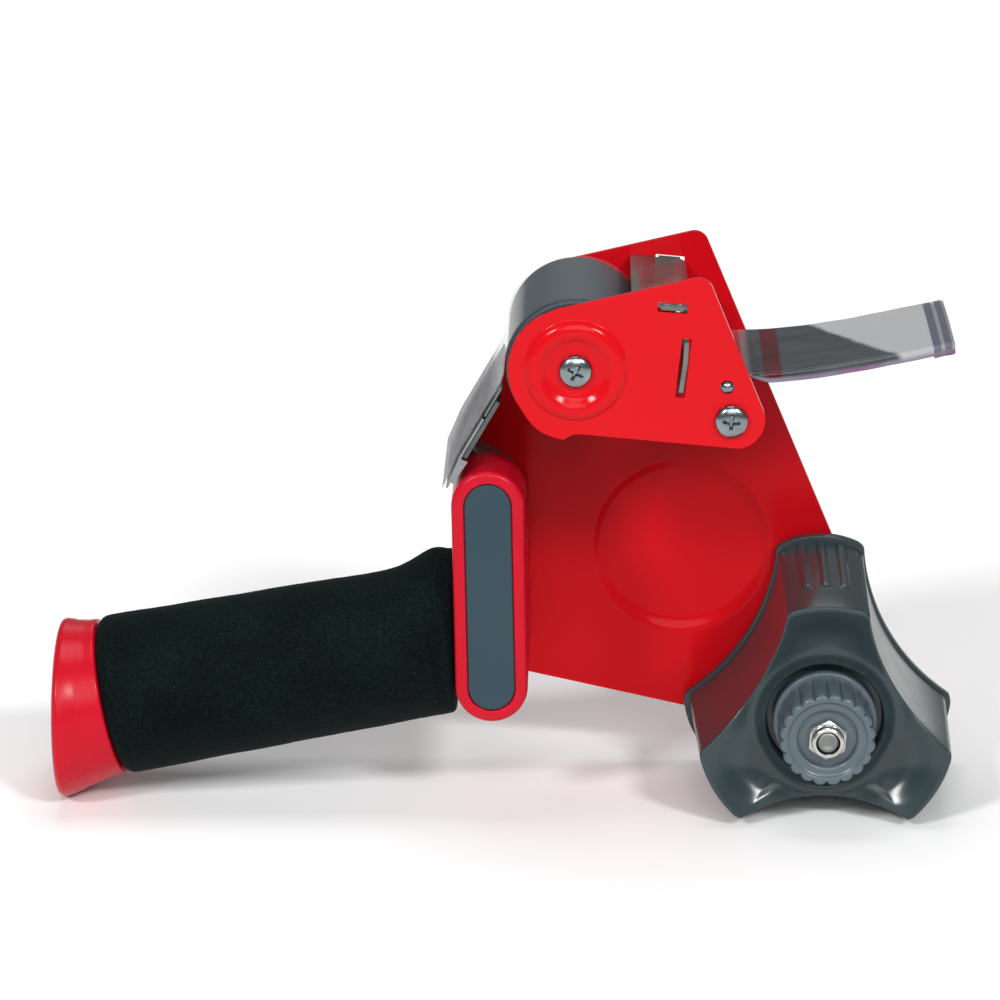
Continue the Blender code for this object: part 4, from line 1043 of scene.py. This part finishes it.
pocket.data.transform(
    Matrix.Translation((screw_at.x * MM, -2.6 * MM, screw_at.y * MM))
    @ Matrix.Rotation(math.atan2(tongue_normal.x, tongue_normal.y), 4, "Y")
    @ Matrix.Rotation(math.pi / 2, 4, "X")
)
boolean(block, pocket)
for x, z in ((-2.8, -1.5), (-2.0, -40.0)):
    boolean(block, turned("bore", [(0, 14.0), (2.7, 14.0), (2.7, 40.0), (0, 40.0)], x, z, 32, closed=False))
shade(block, 36)
weigh(block)
settle(stand(block), "frame", "red_plastic", RED, "handle_body")

inlay_rings = [(6.4, -25.4), (6.4, -26.12), (6.33, -26.3), (6.15, -26.4), (5.9, -26.42)]
inlay = rings_mesh("grip_inlay_fine", [stadium_ring(r, y_at) for r, y_at in inlay_rings])
shade(inlay, 40)
weigh(inlay)
settle(stand(inlay), "frame", "inlay_grey", INLAY, "grip_inlay")

# ---------------------------------------------------------------- foam grip
side = Vector((-block_axis.y, block_axis.x))
wall_at = BLOCK_LOW + side * 10.5


def block_side(up_at):
    """Where along the grip the block's side is met, at a height above the grip's axis."""
    top = side.x * (GRIP_X - up_at * sg - wall_at.x) + side.y * (GRIP_Z + up_at * cg - wall_at.y)
    return top / (side.x * cg + side.y * sg)


def foam_radius(s, a):
    base = 22.0 + 0.9 * max(0.0, s - 10.0) / (FOAM_LEN - 10.0)
    top = max(0.0, math.sin(a)) ** 1.4
    flare = top * (3.1 * math.exp(-(((s - 2.4) / 7.4) ** 2)) - 0.9 * math.exp(-(((s - 21.0) / 13.0) ** 2)))
    collar = 0.35 * math.exp(-(((s - 1.4) / 3.0) ** 2)) - 1.5 * math.exp(-(((s - 5.4) / 1.5) ** 2)) * abs(math.cos(a)) ** 3
    press = -0.5 * math.exp(-(((s - 52.0) / 26.0) ** 2)) * max(0.0, math.sin(a + 0.5)) ** 2
    wrinkle = 0.16 * noise.noise(Vector((s * 0.09, math.cos(a) * 2.2, math.sin(a) * 2.2))) + 0.06 * noise.noise(Vector((s * 0.5, math.cos(a) * 7.0, math.sin(a) * 7.0)))
    near_end = 0.12 * math.sin(9 * a + 1.3) * math.exp(-(((s - 4.0) / 4.0) ** 2))
    return base + flare + collar + press + wrinkle + near_end


AROUND = 160
loops = []
for i in range(AROUND):
    a = 2 * math.pi * i / AROUND
    ca, sa = math.cos(a), math.sin(a)
    loop = []

    def skin(s, r):
        loop.append(along_grip(s, r * ca, r * sa))

    full = foam_radius(block_side(22.0 * sa) + 1.6, a)
    skin(block_side(15.7 * sa), 15.7)
    skin(block_side((full - 1.6) * sa), full - 1.6)
    for k in range(1, 6):
        t = k / 5 * math.pi / 2
        r = full - 1.6 + 1.6 * math.sin(t)
        s = block_side(r * sa) + 1.6 * (1 - math.cos(t))
        skin(s, r)
    s_from = block_side(full * sa) + 1.6
    for k in range(1, 110):
        u = k / 110
        s = s_from + (FOAM_LEN - 3.2 - s_from) * (u + 0.45 * u * (u - 1) * (1 - u))
        skin(s, foam_radius(s, a))
    last = foam_radius(FOAM_LEN - 3.2, a)
    for k in range(0, 9):
        t = k / 8 * math.pi / 2
        skin(FOAM_LEN - 3.2 + 3.2 * math.sin(t), last - 3.2 + 3.2 * math.cos(t))
    skin(FOAM_LEN, 15.7)
    loops.append(loop)
foam = lathe("foam_grip_fine", loops)
shade(foam, 70)
settle(stand(foam), "frame", "foam", FOAM, "foam_grip")

# -------------------------------------------------------------------- pommel
POMMEL_START = FOAM_LEN + 0.3
begin = along_grip(POMMEL_START)
pommel_length = begin.x / MM + 125.9


def pommel_ring(t, r, n=128):
    centre = Vector((begin.x - pommel_length * t * MM, 0, begin.z - (pommel_length * t * sg / cg + 1.2 * t) * MM))
    tilt = math.radians(GRIP_SLOPE) * (1 - t)
    ring = []
    for i in range(n):
        a = 2 * math.pi * i / n
        rise = r * math.sin(a)
        ring.append(centre + Vector((-rise * math.sin(tilt), r * math.cos(a), rise * math.cos(tilt))) * MM)
    return ring


side_line, _ = smooth_line([(0.0, 22.3), (0.25, 22.8), (0.5, 23.7), (0.68, 24.75), (0.8, 25.35), (0.88, 25.4)], 0.03)
pommel_rings = [grip_ring(FOAM_LEN + 12.9, 15.7, 128), grip_ring(POMMEL_START, 15.7, 128), pommel_ring(0.0, 21.9), pommel_ring(0.012, 22.2)]
for k in range(1, 26):
    t = 0.88 * k / 25
    pommel_rings.append(pommel_ring(t, float(np.interp(t, [0.0, 0.25, 0.5, 0.68, 0.8, 0.88], [22.3, 22.85, 23.75, 24.75, 25.3, 25.42]))))
for k in range(1, 11):
    t = k / 10 * math.pi / 2
    pommel_rings.append(pommel_ring(0.88 + 0.12 * math.sin(t), 25.42 - 2.5 * (1 - math.cos(t))))
pommel_rings += [pommel_ring(1.0, 20.0), pommel_ring(1.0, 10.0), pommel_ring(1.0, 3.0)]
pommel = rings_mesh("pommel_fine", pommel_rings)
shade(pommel, 50)
settle(stand(pommel), "frame", "red_plastic", RED, "pommel")


# -------------------------------------------------------------- film leader
def film_material():
    """Clear packing film: dark grey and nearly opaque up to a slanting line past the rod, with a plain red bar, a
    darker end tab, darker grey patches where it hangs over the blade, and painted highlights where it bends over the
    roller and on its curled near edge.
    """
    n = Nodes("clear_film")
    split = n.add("ShaderNodeSeparateXYZ")
    n.link(n.coords, split.inputs["Vector"])
    x, y_at, z_at = split.outputs["X"], split.outputs["Y"], split.outputs["Z"]
    slant = n.math("ADD", x, n.math("MULTIPLY", y_at, 0.5))
    wobble = n.math("MULTIPLY", n.math("SUBTRACT", n.noise(60.0, 2.0), 0.5), 0.004)
    slant = n.math("ADD", slant, wobble)
    past_rod = n.span(x, 0.0, 1.0, 0.0655, 0.0685)
    on_blade = n.math("MULTIPLY", n.span(x, 1.0, 0.0, -0.004, 0.001), n.span(z_at, 1.0, 0.0, 0.122, 0.134))
    # dark grey and nearly opaque up to a slanting line past the rod
    dark_span = n.math("MULTIPLY", past_rod, n.span(slant, 1.0, 0.0, 0.0985, 0.1005))
    outer = n.span(slant, 0.0, 1.0, 0.0985, 0.1005)
    bar = n.math("MULTIPLY", n.span(x, 0.0, 1.0, 0.0712, 0.0716), n.span(x, 1.0, 0.0, 0.0762, 0.0766))
    tab = n.math("MULTIPLY", n.span(x, 0.0, 1.0, 0.1176, 0.1179), n.span(x, 1.0, 0.0, 0.1197, 0.1199))
    tab = n.math("ADD", tab, n.math("MULTIPLY", n.span(x, 0.0, 1.0, 0.1207, 0.1209), n.span(x, 1.0, 0.0, 0.1226, 0.1228)))
    lip = n.span(y_at, 1.0, 0.0, -0.0188, -0.0182)
    haze = n.noise(1.0, 3.0, 0.6, scaled(n, 40.0, 160.0, 40.0))
    clear = n.mix(past_rod, (0.42, 0.45, 0.47), (0.30, 0.31, 0.33))
    tone = n.mix(dark_span, clear, n.ramp(haze, [(0.3, (0.020, 0.027, 0.031)), (0.7, (0.062, 0.071, 0.078))]))
    tone = n.mix(bar, tone, (0.075, 0.002, 0.007))
    tone = n.mix(tab, tone, (0.12, 0.12, 0.16))
    # darker, patchy grey where the film hangs over the blade
    blade_patches = n.noise(1.0, 3.0, 0.6, scaled(n, 200.0, 60.0, 45.0))
    tone = n.mix(on_blade, tone, n.ramp(blade_patches, [(0.3, (0.11, 0.10, 0.12)), (0.7, (0.27, 0.27, 0.29))]))
    # painted highlight: lighter, more opaque grey where the film bends over the roller's left side
    bend_glint = n.math("MULTIPLY", n.span(x, 1.0, 0.0, 0.0005, 0.0062), n.span(z_at, 0.0, 1.0, 0.126, 0.137))
    tone = n.mix(bend_glint, tone, (0.42, 0.44, 0.46))
    # painted highlight and painted red reflection on the curled near edge: a lighter, pinkish, more opaque tone; the
    # curl itself is shaped in the mesh
    lip_glint_tone = n.ramp(n.noise(1.0, 2.0, 0.5, scaled(n, 70.0, 20.0, 20.0)), [(0.42, (0.17, 0.17, 0.21)), (0.60, (0.20, 0.06, 0.16))])
    tone = n.mix(n.math("MULTIPLY", lip, past_rod), tone, lip_glint_tone)
    solid = n.math("ADD", 0.07, n.math("MULTIPLY", dark_span, 0.84))
    solid = n.math("ADD", solid, n.math("MULTIPLY", outer, 0.5))
    solid = n.math("ADD", solid, n.math("MULTIPLY", on_blade, 0.55))
    # more opacity at the bend over the roller, part of its painted highlight
    solid = n.math("ADD", solid, n.math("MULTIPLY", bend_glint, 0.4))
    solid = n.math("MAXIMUM", solid, n.math("MULTIPLY", bar, 0.95))
    solid = n.math("MAXIMUM", solid, n.math("MULTIPLY", tab, 0.85))
    # more opacity on the curled near edge, part of its painted highlight
    solid = n.math("MAXIMUM", solid, n.math("MULTIPLY", n.math("MULTIPLY", lip, past_rod), 0.7))
    streak = n.noise(1.0, 2.0, 0.5, scaled(n, 260.0, 30.0, 260.0))
    normal = n.bump(streak, 0.15, 0.0002)
    n.base(tone, n.math("ADD", 0.09, n.math("MULTIPLY", on_blade, 0.3)), normal)
    n.link(solid, n.shader.inputs["Alpha"])
    n.shader.inputs["Specular IOR Level"].default_value = 0.2
    return n.mat


FILM = film_material()
slope60 = Vector((math.cos(math.radians(60)), math.sin(math.radians(60))))
out60 = Vector((-slope60.y, slope60.x))
edge67 = Vector((math.cos(math.radians(67)), math.sin(math.radians(67))))
edge_out = Vector((-edge67.y, edge67.x))
lower = Vector((-9.78, 19.5)) + out60 * 1.45
film_points = [(119.0, 50.9), (122.0, 51.6), (124.2, 52.0), (124.75, 52.3), (124.5, 52.62), (122.0, 52.15), (113.0, 50.2), (100.0, 47.4), (87.0, 45.2), (76.0, 43.9), (68.0, 43.55)]
film_points += arc(*ROD, 2.55, 82, 126, 4) + [(57.6, 40.6), (53.4, 37.9)] + arc(49.9, 38.6, 2.05, 300, 222, 5)
film_points += arc(*ROLLER, 19.55, 31, 178, 40) + [(1.35, 43.2)]
film_points += [tuple(lower + slope60 * s + out60 * 0.35) for s in (21.4, 18.8, 14.8, 9.8, 4.8, 1.0)]
film_points += [tuple(lower + edge67 * s + edge_out * 0.35) for s in (-1.5, -6.0, -10.3)]
film_line, film_length = smooth_line(film_points, 1.0)
ACROSS = [-24.0, -23.8, -23.5, -23.1, -22.7, -22.3, -21.8, -21.0, -19.5, -17.0, -14.0, -10.0, -6.0, -2.0, 2.0, 6.0, 10.0, 14.0, 18.0, 21.0, 23.0, 24.0]
work = bmesh.new()
rows = []
for k, (x, z) in enumerate(film_line):
    before, after = film_line[max(k - 1, 0)], film_line[min(k + 1, len(film_line) - 1)]
    free = min(1.0, max(0.0, (x - 68.0) / 6.0)) if k < len(film_line) // 2 else 0.0
    row = []
    for y_at in ACROSS:
        curl = free * 2.3 * min(1.0, max(0.0, (-21.6 - y_at) / 2.4)) ** 1.4
        ripple = free * (0.35 * math.sin(x * 0.16 + y_at * 0.05) * (1 - (y_at / 24.0) ** 2) + 0.18 * noise.noise(Vector((x * 0.12, y_at * 0.12, 0.0))))
        row.append(work.verts.new((x * MM, y_at * MM, (z - curl + ripple) * MM)))
    rows.append(row)
for a, b in zip(rows, rows[1:]):
    for j in range(len(ACROSS) - 1):
        work.faces.new((a[j], a[j + 1], b[j + 1], b[j]))
bmesh.ops.recalc_face_normals(work, faces=work.faces)
mesh = bpy.data.meshes.new("tape_leader_fine")
work.to_mesh(mesh)
work.free()
film = new_object("tape_leader_fine", mesh)
step = film.modifiers.new("thickness", "SOLIDIFY")
step.thickness = 0.12 * MM
step.offset = 0.0
bake_modifiers(film)
shade(film, 60)
settle(stand(film), "frame", "clear_film", FILM, "tape_leader")
print("film length", round(film_length, 1), "mm")

# ------------------------------------------------------- floor, light, camera
floor_mesh = bpy.data.meshes.new("floor")
work = bmesh.new()
bmesh.ops.create_grid(work, x_segments=1, y_segments=1, size=4.0)
work.to_mesh(floor_mesh)
work.free()
floor = new_object("floor", floor_mesh)
n = Nodes("floor")
n.base(n.ramp(n.noise(3.0, 2.0), [(0.3, (0.93, 0.93, 0.93)), (0.7, (0.95, 0.95, 0.95))]), 0.9)
n.shader.inputs["Specular IOR Level"].default_value = 0.1
floor.data.materials.append(n.mat)


def softbox(name, place, aim, size, power, size_y=None):
    data = bpy.data.lights.new(name, "AREA")
    data.shape = "RECTANGLE"
    data.size = size
    data.size_y = size_y or size
    data.energy = power
    obj = bpy.data.objects.new(name, data)
    scene.collection.objects.link(obj)
    obj.location = Vector(place)
    obj.rotation_euler = (Vector(aim) - Vector(place)).to_track_quat("-Z", "Y").to_euler()
    return obj


CENTRE = (0.0, 0.0, 0.08)


def sun(name, azimuth, elevation, strength, angle):
    """Far softbox: azimuth in degrees to the right of the front, elevation in degrees above the floor."""
    data = bpy.data.lights.new(name, "SUN")
    data.energy = strength
    data.angle = math.radians(angle)
    obj = bpy.data.objects.new(name, data)
    scene.collection.objects.link(obj)
    a, e = math.radians(azimuth), math.radians(elevation)
    way = Vector((math.sin(a) * math.cos(e), -math.cos(a) * math.cos(e), math.sin(e)))
    obj.rotation_euler = way.to_track_quat("Z", "Y").to_euler()
    return obj


sun("key_front", 3, 32, 0.9, 34)
sun("key_right", 33, 35, 1.45, 10)
sun("key_left", -36, 35, 1.45, 10)
softbox("top", (0.0, 0.1, 1.1), CENTRE, 0.5, 3.2)
softbox("back", (0.0, 1.5, 1.1), (0.0, 1.5, 0.0), 0.9, 3.2)

world = bpy.data.worlds.new("studio")
world.use_nodes = True
world.node_tree.nodes["Background"].inputs["Color"].default_value = (1.0, 1.0, 1.0, 1.0)
world.node_tree.nodes["Background"].inputs["Strength"].default_value = 0.2
scene.world = world

# camera at the viewing angle of the reference: 17.2 degrees above, 1.2 degrees to the side, long lens
ELEVATION, AZIMUTH, DISTANCE = math.radians(17.2), math.radians(1.2), 1267.5
back = Vector((math.sin(AZIMUTH) * math.cos(ELEVATION), -math.cos(AZIMUTH) * math.cos(ELEVATION), math.sin(ELEVATION)))
right = Vector((math.cos(AZIMUTH), math.sin(AZIMUTH), 0.0))
up = right.cross(-back)
turn = Matrix.Rotation(LEAN, 3, "Y")
data = bpy.data.cameras.new("camera")
data.lens, data.sensor_width = 162.0, 36.0
data.clip_start, data.clip_end = 0.05, 30.0
camera = bpy.data.objects.new("camera", data)
scene.collection.objects.link(camera)
r, u, b = turn @ right, turn @ up, turn @ back
spot = LIFT + turn @ (back * DISTANCE * MM)
camera.matrix_world = Matrix(((r.x, u.x, b.x, spot.x), (r.y, u.y, b.y, spot.y), (r.z, u.z, b.z, spot.z), (0, 0, 0, 1)))
scene.camera = camera
